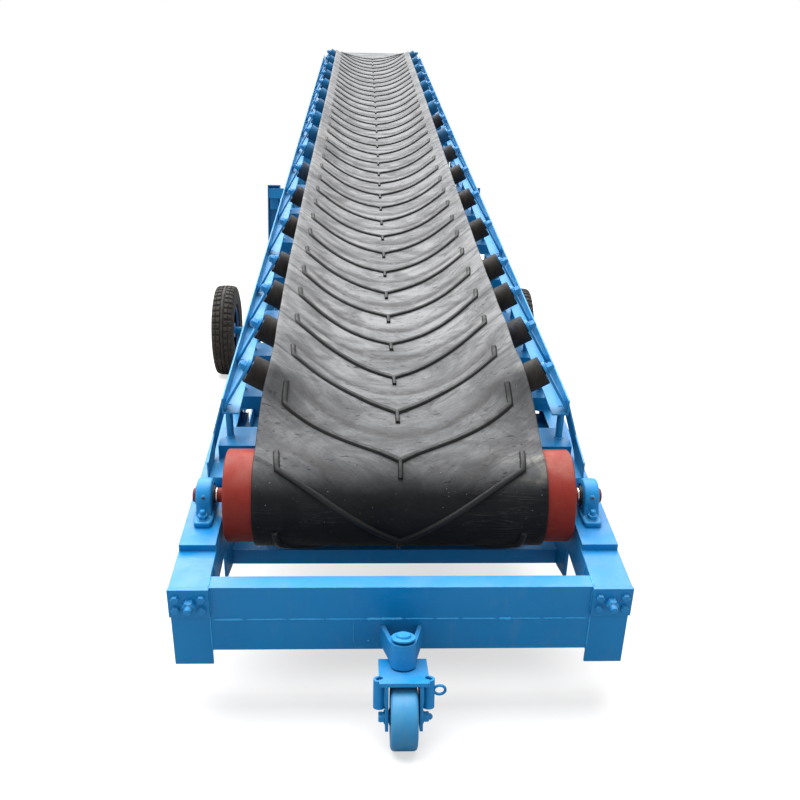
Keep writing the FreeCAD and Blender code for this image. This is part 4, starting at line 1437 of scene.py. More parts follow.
@dataclass
class PillowBlock(Inclined):
    """Pillow block bearing: rounded casting on a foot, insert with seals, nipple and bolts."""

    side: Side
    offset: float = 0.54
    height: float = 0.0492
    half_length: float = 0.092
    half_width: float = 0.027
    corner_power: float = 0.32
    arch_half: float = 0.06
    bolt_place: float = 0.068

    def foot(self, solid: Solid, place: Matrix) -> None:
        """Rounded foot, drawn in towards its top.

        Args:
            solid: gets it.
            place: middle of the bearing's axis.
        """
        rows = []
        for v, grow, swell in ((0.0, 0.0, 1.0), (0.002, 0.0015, 1.0), (0.013, 0.0015, 1.0), (0.016, -0.001, 0.96)):
            ring = []
            for c, s in circle(32):
                u = (abs(c) ** self.corner_power) * math.copysign(self.half_length + grow - 0.0015, c)
                x = (abs(s) ** self.corner_power) * math.copysign((self.half_width + grow - 0.0015) * swell, s)
                ring.append(Vector((x, u, v - self.height)))
            rows.append(ring)
        solid.grid(rows, place=place)

    def arch(self, solid: Solid, place: Matrix) -> None:
        """Arch over the bearing's insert, with its shoulders on the foot.

        Args:
            solid: gets it.
            place: middle of the bearing's axis.
        """
        foot = -self.height
        half = [(0.021, 0.9), (0.0195, 0.955), (0.016, 0.985), (0.008, 1.0)]
        rows = []
        for x, scale in [(-x, scale) for x, scale in half] + half[::-1]:
            turn = [math.radians(-8 + 196 * k / 24) for k in range(25)]
            ring = [Vector((x, self.height * scale * math.cos(a), self.height * scale * math.sin(a))) for a in turn]
            spread = self.arch_half * (0.7 + 0.3 * scale)
            ring += [Vector((x, u, foot + v)) for u, v in ((-spread, 0.016), (-spread - 0.004, 0.004),
                                                          (spread + 0.004, 0.004), (spread, 0.016))]
            rows.append(ring)
        solid.grid(rows, place=place)

    def insert(self, solid: Solid, place: Matrix) -> None:
        """Lips, seals and collars on both faces, and the shaft's end.

        Args:
            solid: gets them.
            place: middle of the bearing's axis.
        """
        lip = [(0.018, 0.0385), (0.0215, 0.0385), (0.023, 0.037), (0.023, 0.034), (0.0195, 0.033), (0.0195, 0.024),
               (0.0215, 0.0235)]
        collar = [(0.019, 0.0205), (0.019, 0.0268), (0.0262, 0.0268), (0.0275, 0.0255), (0.0275, 0.0203)]
        shaft = [(0.018, 0.0195), (0.0332, 0.0195), (0.0345, 0.0182), (0.0345, 0.006), (0.032, 0.004)]
        for way in (-self.side.value, self.side.value):
            solid.lathe(lip, place @ facing(way), 40, [0, 0, 0, 2, 2, 2])
            solid.lathe(collar, place @ facing(way), 32, 2)
        solid.lathe(shaft, place @ facing(self.side.value), 32)

    def build(self) -> None:
        """Make the bearing in the place of its CAD node."""
        solid = Solid()
        place = self.slope.matrix(self.side.value * self.offset, 0, 0)
        self.foot(solid, place)
        self.arch(solid, place)
        self.insert(solid, place)
        for end in SIDES:
            seat = place @ moved(0, end * self.bolt_place, -self.height + 0.0155)
            solid.lathe([(-0.002, 0.0215), (0.0, 0.021), (0.0, 0.009)], seat, 28)
            solid.lathe([(-0.0003, 0.0175), (0.0022, 0.0175), (0.0028, 0.0168), (0.0028, 0.009)], seat, 28, 3)
            solid.hexagon(0.026, 0.0028, 0.0145, seat, 3)
            solid.lathe([(0.014, 0.0082), (0.0235, 0.0082), (0.0262, 0.0071), (0.0276, 0.0048), (0.028, 0.0012)],
                        seat, 20, 3)
        nipple = place @ spun(math.radians(66)) @ moved(0, 0, self.height - 0.001)
        solid.hexagon(0.0105, 0.0, 0.005, nipple, 3)
        solid.lathe([(0.005, 0.003), (0.0075, 0.0026), (0.0085, 0.0036), (0.0105, 0.0036), (0.012, 0.002)],
                    nipple, 16, 2)
        made = self.finishes
        solid.make(f"pillow_block_{self.side.word}", Body.FRAME,
                   [made.casting, made.bright, made.seal, made.hardware],
                   stands_for=[f"tail_bearing_{self.side.word}"], sharp=38)


@dataclass
class TailFrame(Inclined):
    """Tail cross beam, side beams, end plates, take-up screws and their welds."""

    inner: float = 0.492
    outer: float = 0.592
    front: float = -0.331
    top: float = -0.068
    channel: float = 0.1
    plate: float = 0.01
    plate_drop: float = 0.085
    beam: float = 0.1
    screw_offset: float = 0.54
    screw_drop: float = 0.043
    screw_end: float = -0.376
    screw_back: float = -0.081
    screw: float = 0.01
    screw_pitch: float = 0.0035
    screw_sides: int = 20
    bolts: Pair = (0.066, 0.034)
    slide_front: float = -0.171
    slide_beads: tuple[float, ...] = (0.02, 0.13, 0.24)

    def thread(self, solid: Solid, side: int) -> None:
        """Threaded bar of one take-up screw.

        Args:
            solid: gets the bar.
            side: 1 for the right one, -1 for the left one.
        """
        length = self.screw_back - self.screw_end
        count = int(length / (self.screw_pitch / 4))
        rows = []
        for i in range(count + 1):
            u = self.screw_end + length * i / count
            near = min(1.0, (u - self.screw_end + 0.002) / 0.006)
            row = []
            for k, (c, s) in enumerate(circle(self.screw_sides)):
                wave = abs(((u / self.screw_pitch - k / self.screw_sides) % 1.0) * 2 - 1)
                r = (self.screw - 0.0013 * wave) * (0.82 + 0.18 * near)
                row.append(self.slope.at(side * self.screw_offset + r * c, u, self.top - self.screw_drop + r * s))
            rows.append(row)
        solid.grid(rows)

    def hardware(self) -> None:
        """Take-up screws with their nuts, and the bolts of the end plates."""
        threads, bolts = Solid(), Solid()
        drop = self.top - self.screw_drop
        for side in SIDES:
            self.thread(threads, side)
            out = self.slope.matrix(side * self.screw_offset, self.front - self.plate, drop) @ TURN_Z_TO_BACK
            threads.hexagon(0.0294, 0.0, 0.0175, out)
            threads.lathe([(0.0175, 0.0101), (0.0175, 0.0125), (0.0192, 0.012), (0.0192, 0.0101)], out, 24)
            for dx in SIDES:
                for dv in SIDES:
                    seat = self.slope.matrix(side * ((self.inner + self.outer) / 2 + dx * self.bolts[0] / 2),
                                             self.front - self.plate, drop + dv * self.bolts[1] / 2)
                    bolts.bolt(seat @ TURN_Z_TO_BACK, 0.0125, washer=False)
        threads.make("take_up_threads", Body.FRAME, [self.finishes.hardware], stands_for=["take_up_screws"], sharp=50)
        bolts.make("tail_frame_bolts", Body.FRAME, [self.finishes.hardware])

    def seam(self, solid: Solid) -> None:
        """Uneven run of beads between the cross beam's two channels.

        Args:
            solid: gets the beads.
        """
        pick = random.Random(5)
        height, u = self.top - self.channel, self.front - 0.0002
        x, count = -self.inner + 0.006, 0
        while x < self.inner - 0.03:
            end = min(x + pick.uniform(0.03, 0.11), self.inner - 0.005)
            proud = pick.choice((0.0019, 0.0022, 0.0032, 0.004))
            self.slope.weld(solid, (x, u, height), (end, u, height), proud, 10 + count)
            x = end + pick.uniform(-0.002, 0.006)
            count += 1

    def welds(self) -> None:
        """Beads along the joints of the tail frame."""
        solid = Solid()
        self.seam(solid)
        front, top, drop = self.front, self.top, self.top - self.plate_drop
        low, back, edge = top - 2 * self.channel, front + self.beam, front - self.plate * 0.5
        for side in SIDES:
            inner, outer = side * self.inner, side * self.outer
            beads = [((inner, front - 0.0004, drop - 0.004), (inner, front - 0.0004, low + 0.004), 0.0022, 40),
                     ((inner, front + 0.003, top), (inner, front + 0.05, top), 0.0025, 50)]
            beads += [((x, back, top - 0.004), (x, back, top - self.beam + 0.004), 0.003, 70) for x in (inner, outer)]
            beads += [((inner + side * 0.001, edge, drop), (outer + side * 0.001, edge, drop), 0.0028, 80),
                      ((inner - side * 0.001, front + 0.001, top - 0.003),
                       (inner - side * 0.001, front + 0.001, drop + 0.003), 0.0025, 90)]
            for start, end, radius, seed in beads:
                self.slope.weld(solid, start, end, radius, seed + side)
            x, over = outer - side * 0.001, top + 0.0005
            for u in (self.slide_front + shift for shift in self.slide_beads):
                self.slope.weld(solid, (x, u, over), (x, u + 0.035, over), 0.0025, int(100 + u * 100))
        gusset, stub = front - 0.0003, front - 0.0004
        self.slope.weld(solid, (-0.124, gusset, top - self.channel - 0.008), (-0.124, gusset, low + 0.022), 0.0012, 120)
        self.slope.weld(solid, (-0.085, stub, low + 0.026), (-0.085, stub, low + 0.031), 0.003, 121)
        solid.make("tail_frame_welds", Body.FRAME, [self.finishes.weld], sharp=70)

    def build(self) -> None:
        """Dress the frame's nodes and add its small pieces."""
        dress(self.finishes.frame, "tail_cross_beam", "tail_side_frames", "tail_rear_beam", "tail_end_plates",
              "take_up_slides")
        self.hardware()
        self.welds()


# ---------------------------------------------------------------- trusses
@dataclass
class Truss(Inclined):
    """Side trusses and the cross channels, with their welds."""

    stations: list[float]
    top_outside: float = 0.522
    post_inset: float = 0.0165
    post_radius: float = 0.011
    plate_top: float = 0.03
    channel_half: float = 0.535
    channel_wide: float = 0.06
    channel_low: float = -0.018
    ledge: float = 0.125

    def welds(self, side: Side) -> None:
        """Rings at the posts' ends, beads at the channels' ends and on the ledge, and the gusset.

        Args:
            side: the truss that they are on.
        """
        solid = Solid()
        sign = side.value
        x = sign * (self.top_outside - self.post_inset)
        up = self.slope.at(0, 0, 1) - self.slope.at(0, 0, 0)
        for index, u in enumerate(self.stations):
            pick = random.Random(index + 31 * sign)
            ring = []
            for c, s in circle(16):
                r = self.post_radius + 0.001 + pick.uniform(-0.0005, 0.0008)
                ring.append(self.slope.at(x + r * c, u + r * s, self.plate_top + 0.0005))
            solid.hoop(ring, 0.0026, up)
            rise = up * (self.ledge - 0.0055 - self.plate_top - 0.001)
            solid.hoop([p + rise for p in ring], 0.0022, up)
            for end in SIDES:
                flank = u + end * (self.channel_wide - 0.001)
                self.slope.weld(solid, (sign * (self.channel_half - 0.05), flank, self.channel_low),
                                (sign * (self.channel_half - 0.002), flank, self.channel_low), 0.0028, 200 + index)
            for end in SIDES:
                flank, height = u + end * 0.025, self.ledge + 0.0003
                self.slope.weld(solid, (sign * 0.499, flank, height), (sign * 0.5155, flank, height), 0.0022,
                                300 + index)
        solid.block((0.046, 0.005, 0.0465), self.slope.matrix(sign * 0.5315, 0.1265, -0.0442), 1)
        solid.make(f"truss_welds_{side.word}", Body.FRAME, [self.finishes.weld, self.finishes.frame], sharp=70)

    def build(self) -> None:
        """Dress the trusses' nodes and add their welds."""
        for side in Side:
            dress(self.finishes.truss, *(f"{part}_{side.word}" for part in (
                "top_chord", "middle_chord", "bottom_chord", "side_bracing", "wing_brackets")))
            self.welds(side)
        dress(self.finishes.frame, "idler_cross_channels", "bottom_ties", "return_hangers")


# ---------------------------------------------------------------- head
@dataclass
class HeadEnd(Inclined):
    """Drum motor with its end covers, the clamps that hold its stubs, head plates and terminal box."""

    radius: float = 0.13
    half_face: float = 0.478
    stub: float = 0.0257
    stub_end: float = 0.538
    plate_outside: float = 0.508
    plate_back: float = 0.49
    box_centre: float = 0.2
    box_size: Pair = (0.12, 0.09)

    def drum(self) -> None:
        """Shell with end covers and their screws."""
        solid = Solid()
        half, r, stub = self.half_face, self.radius, self.stub
        ends = [(self.stub_end, stub * 0.8), (self.stub_end - 0.002, stub), (half + 0.016, stub),
                (half + 0.016, 0.05), (half + 0.012, 0.056), (half + 0.003, 0.07), (half - 0.002, 0.1),
                (half - 0.004, r - 0.012), (half - 0.001, r - 0.01), (half, r - 0.004), (half - 0.003, r)]
        place = self.slope.matrix(0, self.slope.length, 0)
        solid.twin(ends, place @ TURN_Z_TO_X, 96, [1] * 3 + [0] * 7)
        for side in SIDES:
            for k in range(8):
                seat = place @ spun(math.pi * (k + 0.5) / 4) @ moved(side * (half - 0.0015), 0.088, 0) @ facing(side)
                solid.bolt(seat, 0.01, 0.0, 2, washer=False)
        solid.make("head_drum_shell", Body.FRAME, [self.finishes.drum, self.finishes.bright, self.finishes.zinc],
                   Slot.DRUM_PAINT, ["head_drum"], sharp=30)

    def clamps(self) -> None:
        """Clamp rings that hold the drum's stubs, with their bolts and the plates' welds."""
        solid = Solid()
        ring = [(0.0, self.stub), (0.0, 0.052), (0.011, 0.052), (0.0135, 0.049), (0.0135, self.stub + 0.001)]
        back = self.slope.length - self.plate_back + 0.004
        for side in SIDES:
            place = self.slope.matrix(side * self.plate_outside, self.slope.length, 0)
            solid.lathe(ring, place @ facing(side), 40)
            for k in range(4):
                seat = place @ spun(math.pi * (k + 0.5) / 2) @ moved(side * 0.0132, 0.0395, 0) @ facing(side)
                solid.bolt(seat, 0.01, 0.0, 1, washer=False)
            x = side * (self.plate_outside - 0.0005)
            for k in range(5):
                self.slope.weld(solid, (x, back, -0.4 + 0.1 * k), (x, back, -0.35 + 0.1 * k), 0.003, 400 + k)
        solid.make("head_clamps", Body.FRAME, [self.finishes.casting, self.finishes.hardware])

    def terminal(self) -> None:
        """Lid, screws, gland and conduit stub of the terminal box."""
        low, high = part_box("terminal_box")
        long, tall = self.box_size
        u = self.slope.length - self.box_centre
        place = self.slope.matrix(high.x, u, 0)
        solid = Solid()
        solid.block((0.006, long + 0.008, tall + 0.008), place @ moved(-0.004, 0, 0), 0, 0.002)
        screw = [(0.0, 0.0048), (0.0006, 0.0048), (0.001, 0.004), (0.001, 0.0012), (0.0004, 0.001)]
        for du in SIDES:
            for dv in SIDES:
                seat = place @ moved(-0.0012, du * (long / 2 - 0.007), dv * (tall / 2 - 0.007)) @ TURN_Z_TO_X
                solid.lathe(screw, seat, 16, 1)
        gland = self.slope.matrix((low.x + high.x) / 2, u, -tall / 2) @ spun(math.pi)
        solid.hexagon(0.026, 0.0, 0.008, gland, 2)
        solid.lathe([(0.008, 0.0115), (0.018, 0.0115), (0.022, 0.009), (0.022, 0.006)], gland, 24, 2)
        solid.make("terminal_box_trim", Body.FRAME, [self.finishes.frame, self.finishes.zinc, self.finishes.seal])

    def build(self) -> None:
        """Dress the head's nodes and make the drum in the place of its CAD node."""
        dress(self.finishes.frame, "head_plates", "terminal_box")
        self.drum()
        self.clamps()
        self.terminal()


# ---------------------------------------------------------------- caster
@dataclass
class Caster(Assembly):
    """Swivel caster: cap, king bolt, wheel with its mould seam, axle bolt and nut."""

    radius: float = 0.08
    half_width: float = 0.033
    axle: float = 0.0103
    cheek: float = 0.046
    trail: float = 0.059
    plate_side: float = 0.0455
    plate_under: float = 0.172
    cheek_weld: Pair = (0.114, 0.168)
    cap: float = 0.0305
    head: float = 0.0185

    def wheel(self) -> None:
        """Solid wheel with a seam round its tread, webs and a hub."""
        place = Matrix.Translation(middle("caster_wheel"))
        w, r = self.half_width, self.radius
        half = [(w + 0.003, self.axle), (w + 0.003, 0.019), (w + 0.0015, 0.021), (w - 0.006, 0.0235),
                (w - 0.009, 0.026), (w - 0.0095, r - 0.03), (w - 0.007, r - 0.0265), (w - 0.0012, r - 0.0235),
                (w, r - 0.021), (w, r - 0.009), (w - 0.0015, r - 0.0045), (w - 0.0045, r - 0.0015),
                (w - 0.009, r - 0.0002), (0.0035, r - 0.0002), (0.0014, r - 0.0004), (0.0007, r)]
        solid = Solid()
        solid.twin(half, place @ TURN_Z_TO_X, 72)
        solid.lathe([(-w - 0.004, 0.0101), (-w - 0.004, 0.0155), (w + 0.004, 0.0155), (w + 0.004, 0.0101)],
                    place @ TURN_Z_TO_X, 28, 1)
        for side in SIDES:
            for k in range(5):
                web = place @ spun(2 * math.pi * k / 5) @ moved(side * (w - 0.0085), 0.039, 0)
                solid.block((0.006, 0.024, 0.006), web, 0, 0.002)
        solid.make("caster_wheel_tread", Body.CASTER_WHEEL, [self.finishes.caster, self.finishes.zinc],
                   Slot.WHEEL_PAINT, ["caster_wheel"], sharp=35)

    def axle_bolt(self) -> None:
        """Axle with its head, washers and nut, in the place of its CAD node."""
        place = Matrix.Translation(middle("caster_axle"))
        solid = Solid()
        solid.lathe([(-self.cheek, 0.0099), (self.cheek, 0.0099)], place @ TURN_Z_TO_X, 28)
        for side, stands in zip(SIDES, (0.0, 0.006)):
            solid.bolt(place @ moved(side * self.cheek, 0, 0) @ facing(side), 0.0165, stands, dome=side > 0)
        solid.make("caster_axle_bolt", Body.FORK, [self.finishes.hardware], stands_for=["caster_axle"])

    def king_bolt(self) -> None:
        """Cap disc and bolt on top of the swivel barrel, and the fork's welds."""
        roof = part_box("caster_fork")[1].z
        y = middle("caster_wheel").y
        disc, head = self.cap, self.head
        solid = Solid()
        solid.lathe([(-0.0028, 0.008), (-0.0028, disc - 0.001), (-0.0018, disc), (0.0012, disc), (0.0022, disc - 0.001),
                     (0.0024, head + 0.0012), (0.0034, head), (0.0072, head - 0.0004), (0.009, head - 0.002),
                     (0.0094, head - 0.005), (0.0088, 0.0)], moved(0, y + self.trail, roof - 0.0005), 48)
        for side in SIDES:
            for dy in (-0.028, 0.02):
                x = side * self.plate_side
                solid.weld(Vector((x, y + dy, self.plate_under)), Vector((x, y + dy + 0.03, self.plate_under)),
                           0.0025, int(500 + dy * 1000) + side, 1)
            for dy, seed in ((-0.0085, 520), (0.0085, 530)):
                start, end = (Vector((side * (self.cheek + 0.001), y + dy, z)) for z in self.cheek_weld)
                solid.weld(start, end, 0.0026, seed + side, 1)
        solid.make("king_bolt", Body.FORK, [self.finishes.hardware, self.finishes.weld])

    def build(self) -> None:
        """Dress the caster's nodes and add its small pieces."""
        dress(self.finishes.frame, "caster_bracket", "caster_fork")
        self.wheel()
        self.axle_bolt()
        self.king_bolt()


# ---------------------------------------------------------------- road wheels
@dataclass
class RoadWheel(Assembly):
    """Pneumatic tyre with block tread on a dished rim with its nuts and valve.

    Half of the tyre's outline is in two tables. tread has the share of the half width, how far the
    point lies under the tyre's radius, and how much of a groove's depth cuts there; wall has the share
    and how far the point lies over the rim.
    """

    side: Side
    radius: float = 0.381
    half_width: float = 0.092
    rim_radius: float = 0.205
    bead: float = 0.62
    lugs: int = 46
    lug_steps: int = 6
    groove: float = 0.011
    tread: tuple[tuple[float, float, float], ...] = (
        (0.0, 0.0, 0.0), (0.09, 0.0002, 0.0), (0.1, 0.0003, 1.0), (0.19, 0.0008, 1.0), (0.2, 0.001, 0.0),
        (0.42, 0.002, 0.0), (0.5, 0.003, 0.0), (0.51, 0.003, 1.0), (0.56, 0.004, 1.0), (0.57, 0.004, 0.0),
        (0.72, 0.008, 0.0), (0.83, 0.014, 0.0), (0.885, 0.024, 0.0), (0.9, 0.036, 0.0), (0.945, 0.05, 0.0),
        (0.975, 0.062, 0.0), (0.972, 0.064, 0.0), (0.992, 0.08, 0.0))
    wall: tuple[Pair, ...] = ((1.0, 0.09), (0.985, 0.07), (0.97, 0.066), (0.95, 0.045), (0.9, 0.03),
                              (0.895, 0.022), (0.8, 0.012), (0.72, 0.004), (0.66, 0.0005))

    @property
    def body(self) -> Body:
        """The wheel's body."""
        return Body.WHEEL_RIGHT if self.side is Side.RIGHT else Body.WHEEL_LEFT

    @property
    def centre(self) -> Matrix:
        """Place of the wheel's centre."""
        return Matrix.Translation(middle(f"tyre_{self.side.word}"))

    def depth(self, share: float, cut: float, lug_gap: bool) -> float:
        """How deep the tread is cut.

        Args:
            share: share of the half width.
            cut: share of a groove's depth that runs round there.
            lug_gap: whether a gap between two lugs passes there.

        Returns:
            The depth under the tyre's outline.
        """
        deep = cut * self.groove
        if lug_gap and 0.19 <= share <= 0.86:
            deep = max(deep, self.groove * (0.9 if share < 0.8 else 0.75))
        if lug_gap and 0.86 < share < 0.93:
            deep = max(deep, 0.006)
        return deep

    def tyre(self) -> None:
        """The tyre, in the place of its CAD node."""
        w = self.half_width
        half = [(w * share, self.radius - drop, cut) for share, drop, cut in self.tread]
        half += [(w * share, self.rim_radius + rise, 0.0) for share, rise in self.wall]
        steps = self.lugs * self.lug_steps
        rim = circle(steps, self.rim_radius)
        rows = []
        for i in range(steps):
            row = []
            for sign, offset, line in ((1, 3, half), (-1, 0, half[:0:-1])):
                lug_gap = (i + offset) % self.lug_steps in (0, 1)
                for x, r, cut in line:
                    share = x / w
                    deep = self.depth(share, cut, lug_gap)
                    a = 2 * math.pi * (i + (0.35 if 0.3 < share < 0.9 else 0.0)) / steps
                    row.append(Vector((sign * x, (r - deep) * math.cos(a), (r - deep) * math.sin(a))))
            row[len(half):len(half)] = [Vector((side * self.bead * w, *rim[i])) for side in (1, -1)]
            rows.append(row)
        solid = Solid()
        solid.grid(rows, loop=True, place=self.centre)
        solid.make(f"tyre_tread_{self.side.word}", self.body, [self.finishes.tyre], Slot.TYRE_RUBBER,
                   [f"tyre_{self.side.word}"], sharp=32)

    def trim(self) -> None:
        """Bead rings, wheel nuts, hub cap and valve."""
        sign, out = self.side.value, facing(self.side.value)
        w, r = self.half_width * self.bead, self.rim_radius
        ring = [(w - 0.004, r - 0.013), (w + 0.008, r - 0.011), (w + 0.0105, r - 0.002), (w + 0.0105, r + 0.007),
                (w + 0.0075, r + 0.0085), (w + 0.005, r + 0.004), (w - 0.004, r - 0.001)]
        solid = Solid()
        for way in SIDES:
            solid.lathe(ring, self.centre @ facing(way), 72)
        for k in range(6):
            solid.bolt(self.centre @ spun(math.pi * k / 3) @ moved(sign * 0.0205, 0.083, 0) @ out, 0.014, 0.008, 1)
        hub = w + 0.012
        solid.lathe([(hub - 0.001, 0.05), (hub + 0.004, 0.05), (hub + 0.012, 0.046), (hub + 0.018, 0.036),
                     (hub + 0.0205, 0.02), (hub + 0.021, 0.004)], self.centre @ out, 40)
        valve = self.centre @ spun(0.5) @ moved(sign * 0.03, 0.176, 0) @ out
        solid.lathe([(0.0, 0.0045), (0.01, 0.004), (0.03, 0.0032), (0.031, 0.0048), (0.04, 0.0048), (0.042, 0.003)],
                    valve, 16, 2)
        solid.make(f"wheel_trim_{self.side.word}", self.body,
                   [self.finishes.rim, self.finishes.zinc, self.finishes.seal], Slot.WHEEL_PAINT)

    def build(self) -> None:
        """Dress the rim and make the tyre and its trim."""
        dress(self.finishes.rim, f"rim_{self.side.word}")
        self.tyre()
        self.trim()


# ---------------------------------------------------------------- undercarriage
@dataclass
class Undercarriage(Assembly):
    """Axle beam, uprights, cylinders and lift beam, with their welds, glands and pin ends."""

    axle_half: float = 0.96
    axle_tall: float = 0.1
    upright_inner: float = 0.79
    upright_outer: float = 0.893
    cylinder: float = 0.64
    pivot: float = 0.526
    lugs: Pair = (-0.026, 0.014)
    lug: float = 0.012

    def cylinder_fittings(self, solid: Solid, foot: Matrix, head: Matrix) -> None:
        """Weld, port, gland and gland screws of one cylinder.

        Args:
            solid: gets the fittings.
            foot: place of the barrel's foot.
            head: place of the gland.
        """
        solid.lathe([(0.0, 0.04), (0.0, 0.046), (0.003, 0.0455), (0.007, 0.0385)], foot, 36)
        port = foot @ moved(0, -0.037, 0.04) @ TURN_Z_TO_BACK
        solid.lathe([(0.0, 0.013), (0.006, 0.013), (0.0075, 0.0115), (0.0075, 0.006)], port, 24)
        solid.hexagon(0.019, 0.007, 0.014, port, 1)
        solid.lathe([(0.014, 0.0075), (0.02, 0.0075), (0.0215, 0.006), (0.0215, 0.002)], port, 20, 1)
        solid.lathe([(-0.001, 0.0385), (0.0, 0.0425), (0.0015, 0.0432), (0.0235, 0.0432), (0.0255, 0.0415),
                     (0.0256, 0.026)], head, 36)
        solid.lathe([(0.0256, 0.0255), (0.0275, 0.0245), (0.0275, 0.0206)], head, 32, 2)
        for k in range(4):
            solid.lathe([(0.0253, 0.0045), (0.0275, 0.0045), (0.028, 0.0038), (0.028, 0.001)],
                        head @ spun(math.pi / 4 + math.pi * k / 2, "Z") @ moved(0.0335, 0, 0), 12, 1)

    def fixed(self) -> None:
        """Welds and cylinder fittings on the undercarriage."""
        axle = middle("axle_beam")
        low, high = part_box("upright_right")
        barrel_low, barrel_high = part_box("lift_cylinders")
        barrel_y = (barrel_low.y + barrel_high.y) / 2
        roof = axle.z + self.axle_tall / 2
        inner, outer = self.upright_inner, self.upright_outer
        solid = Solid()
        for sign in SIDES:
            for x in (inner, outer):
                solid.weld(Vector((sign * x, low.y + 0.003, roof)), Vector((sign * x, high.y - 0.003, roof)), 0.004,
                           int(600 + x * 100))
            solid.weld(Vector((sign * (inner + 0.003), high.y, roof)),
                       Vector((sign * (outer - 0.003), high.y, roof)), 0.004, 630 + sign)
            x = sign * self.cylinder
            self.cylinder_fittings(solid, moved(x, barrel_y, roof), moved(x, barrel_y, barrel_high.z - 0.025))
            solid.lathe([(-0.0005, 0.04), (0.0, 0.044), (0.004, 0.041), (0.011, 0.0305)],
                        moved(sign * self.axle_half, axle.y, axle.z) @ facing(sign), 36)
        solid.make("undercarriage_welds", Body.UNDERCARRIAGE,
                   [self.finishes.weld, self.finishes.zinc, self.finishes.seal])

    def moving(self) -> None:
        """Pin heads, keepers and welds on the lift beam."""
        pin_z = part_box("lift_beam")[1].z - 0.03
        low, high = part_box("lift_rods")
        y, rod_top = (low.y + high.y) / 2, high.z
        pin = [(-0.006, 0.016), (-0.006, 0.024), (-0.001, 0.024), (0.001, 0.0215), (0.001, 0.006), (0.0, 0.004)]
        solid = Solid()
        for sign in SIDES:
            for way in SIDES:
                solid.lathe(pin, moved(sign * self.pivot + way * 0.032, y, pin_z) @ facing(way), 32, 1)
            for inside in (self.pivot + gap for gap in self.lugs):
                for x in (inside, inside + self.lug):
                    start, end = (Vector((sign * x, y + dy, rod_top + 0.08)) for dy in (-0.029, 0.029))
                    solid.weld(start, end, 0.0035, int(700 + x * 100))
            solid.lathe([(-0.007, 0.021), (0.0, 0.026), (0.0, 0.019)], moved(sign * self.cylinder, y, rod_top), 28)
        solid.make("lift_beam_trim", Body.CARRIAGE, [self.finishes.weld, self.finishes.zinc])

    def build(self) -> None:
        """Dress the undercarriage's nodes and add its small pieces."""
        dress(self.finishes.frame, "axle_beam", "upright_left", "upright_right", "lift_cylinders", "lift_beam",
              "pivot_lugs")
        dress(self.finishes.chrome, "lift_rods")
        self.fixed()
        self.moving()


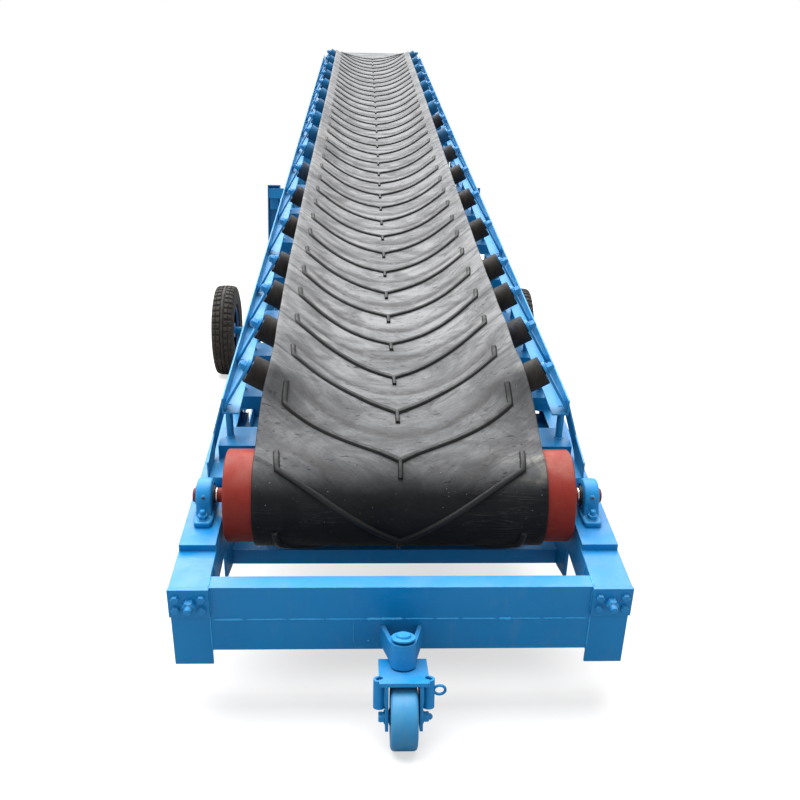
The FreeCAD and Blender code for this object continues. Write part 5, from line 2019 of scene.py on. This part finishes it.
# ---------------------------------------------------------------- studio
@dataclass
class Studio(Inclined):
    """Pale floor, soft light and the camera."""

    lens: float = 42.92
    offset: tuple[float, float, float] = (-0.1095, -2.600, 1.2567)
    pitch: float = math.radians(10.21)
    yaw: float = math.radians(2.42)
    roll: float = math.radians(0.705)
    reach: float = 60.0
    lamp: float = 8.8
    lamp_spread: float = math.radians(75.0)
    lamp_turn: tuple[float, float, float] = (math.radians(-14.0), math.radians(-10.0), 0.0)

    def floor(self) -> None:
        """Wide pale floor under the wheels."""
        reach, z = self.reach, CAD_BOX[0].z - 0.001
        mesh = bpy.data.meshes.new("floor")
        mesh.from_pydata([(-reach, -reach, z), (reach, -reach, z), (reach, reach, z), (-reach, reach, z)], [],
                         [(0, 1, 2, 3)])
        mesh.materials.append(self.finishes.floor)
        made = bpy.data.objects.new("floor", mesh)
        bpy.context.scene.collection.objects.link(made)

    def lights(self) -> None:
        """Even sky and one wide soft lamp overhead."""
        world = bpy.data.worlds.new("studio")
        bpy.context.scene.world = world
        world.use_nodes = True
        back = world.node_tree.nodes["Background"]
        back.inputs["Color"].default_value = (1.0, 1.0, 1.0, 1.0)
        back.inputs["Strength"].default_value = 1.0
        sky = bpy.data.lights.new("overhead", "SUN")
        sky.energy, sky.angle = self.lamp, self.lamp_spread
        made = bpy.data.objects.new("overhead", sky)
        made.location = (0.0, 0.0, 9.0)
        made.rotation_euler = self.lamp_turn
        bpy.context.scene.collection.objects.link(made)

    def camera(self) -> None:
        """Camera in front of the tail."""
        data = bpy.data.cameras.new("camera")
        data.sensor_width, data.lens = 36.0, self.lens
        data.clip_start, data.clip_end = 0.05, 200.0
        made = bpy.data.objects.new("camera", data)
        made.location = Vector((self.offset[0], self.slope.tail.y + self.offset[1], self.offset[2]))
        forward = Vector((math.sin(self.yaw) * math.cos(self.pitch), math.cos(self.yaw) * math.cos(self.pitch),
                          -math.sin(self.pitch)))
        right = Vector((math.cos(self.yaw), -math.sin(self.yaw), 0.0))
        up = right.cross(forward)
        c, s = math.cos(self.roll), math.sin(self.roll)
        turn = Matrix((right * c + up * s, up * c - right * s, -forward)).transposed()
        made.rotation_mode = "QUATERNION"
        made.rotation_quaternion = turn.to_quaternion()
        bpy.context.scene.collection.objects.link(made)
        bpy.context.scene.camera = made

    def build(self) -> None:
        """Set the studio up."""
        self.camera()
        self.floor()
        self.lights()
        bpy.context.scene.view_settings.view_transform = "Standard"


def idler_stations(length: float) -> list[float]:
    """Places of the idler sets along the slope.

    Args:
        length: distance between the drums' axes.

    Returns:
        Distance of each set from the tail drum's axis.
    """
    first, close_pitch, pitch, last = 0.29, 0.335, 0.525, length - 1.075
    places = [first + close_pitch * i for i in range(4)]
    while places[-1] + pitch <= last:
        places.append(places[-1] + pitch)
    return places


def return_stations(idlers: Sequence[float]) -> list[float]:
    """Places of the return rollers along the slope.

    Args:
        idlers: places of the idler sets.

    Returns:
        Distance of each return roller from the tail drum's axis.
    """
    start, count, behind = idlers[3], 4, 0.12
    targets = [start + (idlers[-1] - start) * (index + 0.5) / count for index in range(count)]
    return [min(idlers, key=lambda place: abs(place - target)) + behind for target in targets]


def main() -> None:
    """Build every sub-assembly in order."""
    logging.basicConfig(level=logging.INFO, format="%(name)s %(message)s")
    slope = Slope.from_drums()
    finishes = Finishes(slope)
    idlers = idler_stations(slope.length)
    returns = return_stations(idlers)
    parts: list[Assembly] = [
        Studio(finishes, slope), Belt(finishes, slope, idlers, returns), Rollers(finishes, slope, idlers, returns),
        TailDrum(finishes, slope), TailFrame(finishes, slope), Truss(finishes, slope, idlers),
        HeadEnd(finishes, slope), Caster(finishes), Undercarriage(finishes)]
    for side in Side:
        parts += [PillowBlock(finishes, slope, side), RoadWheel(finishes, side)]
    for part in parts:
        part.build()
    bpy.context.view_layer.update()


if __name__ == "__main__":
    main()
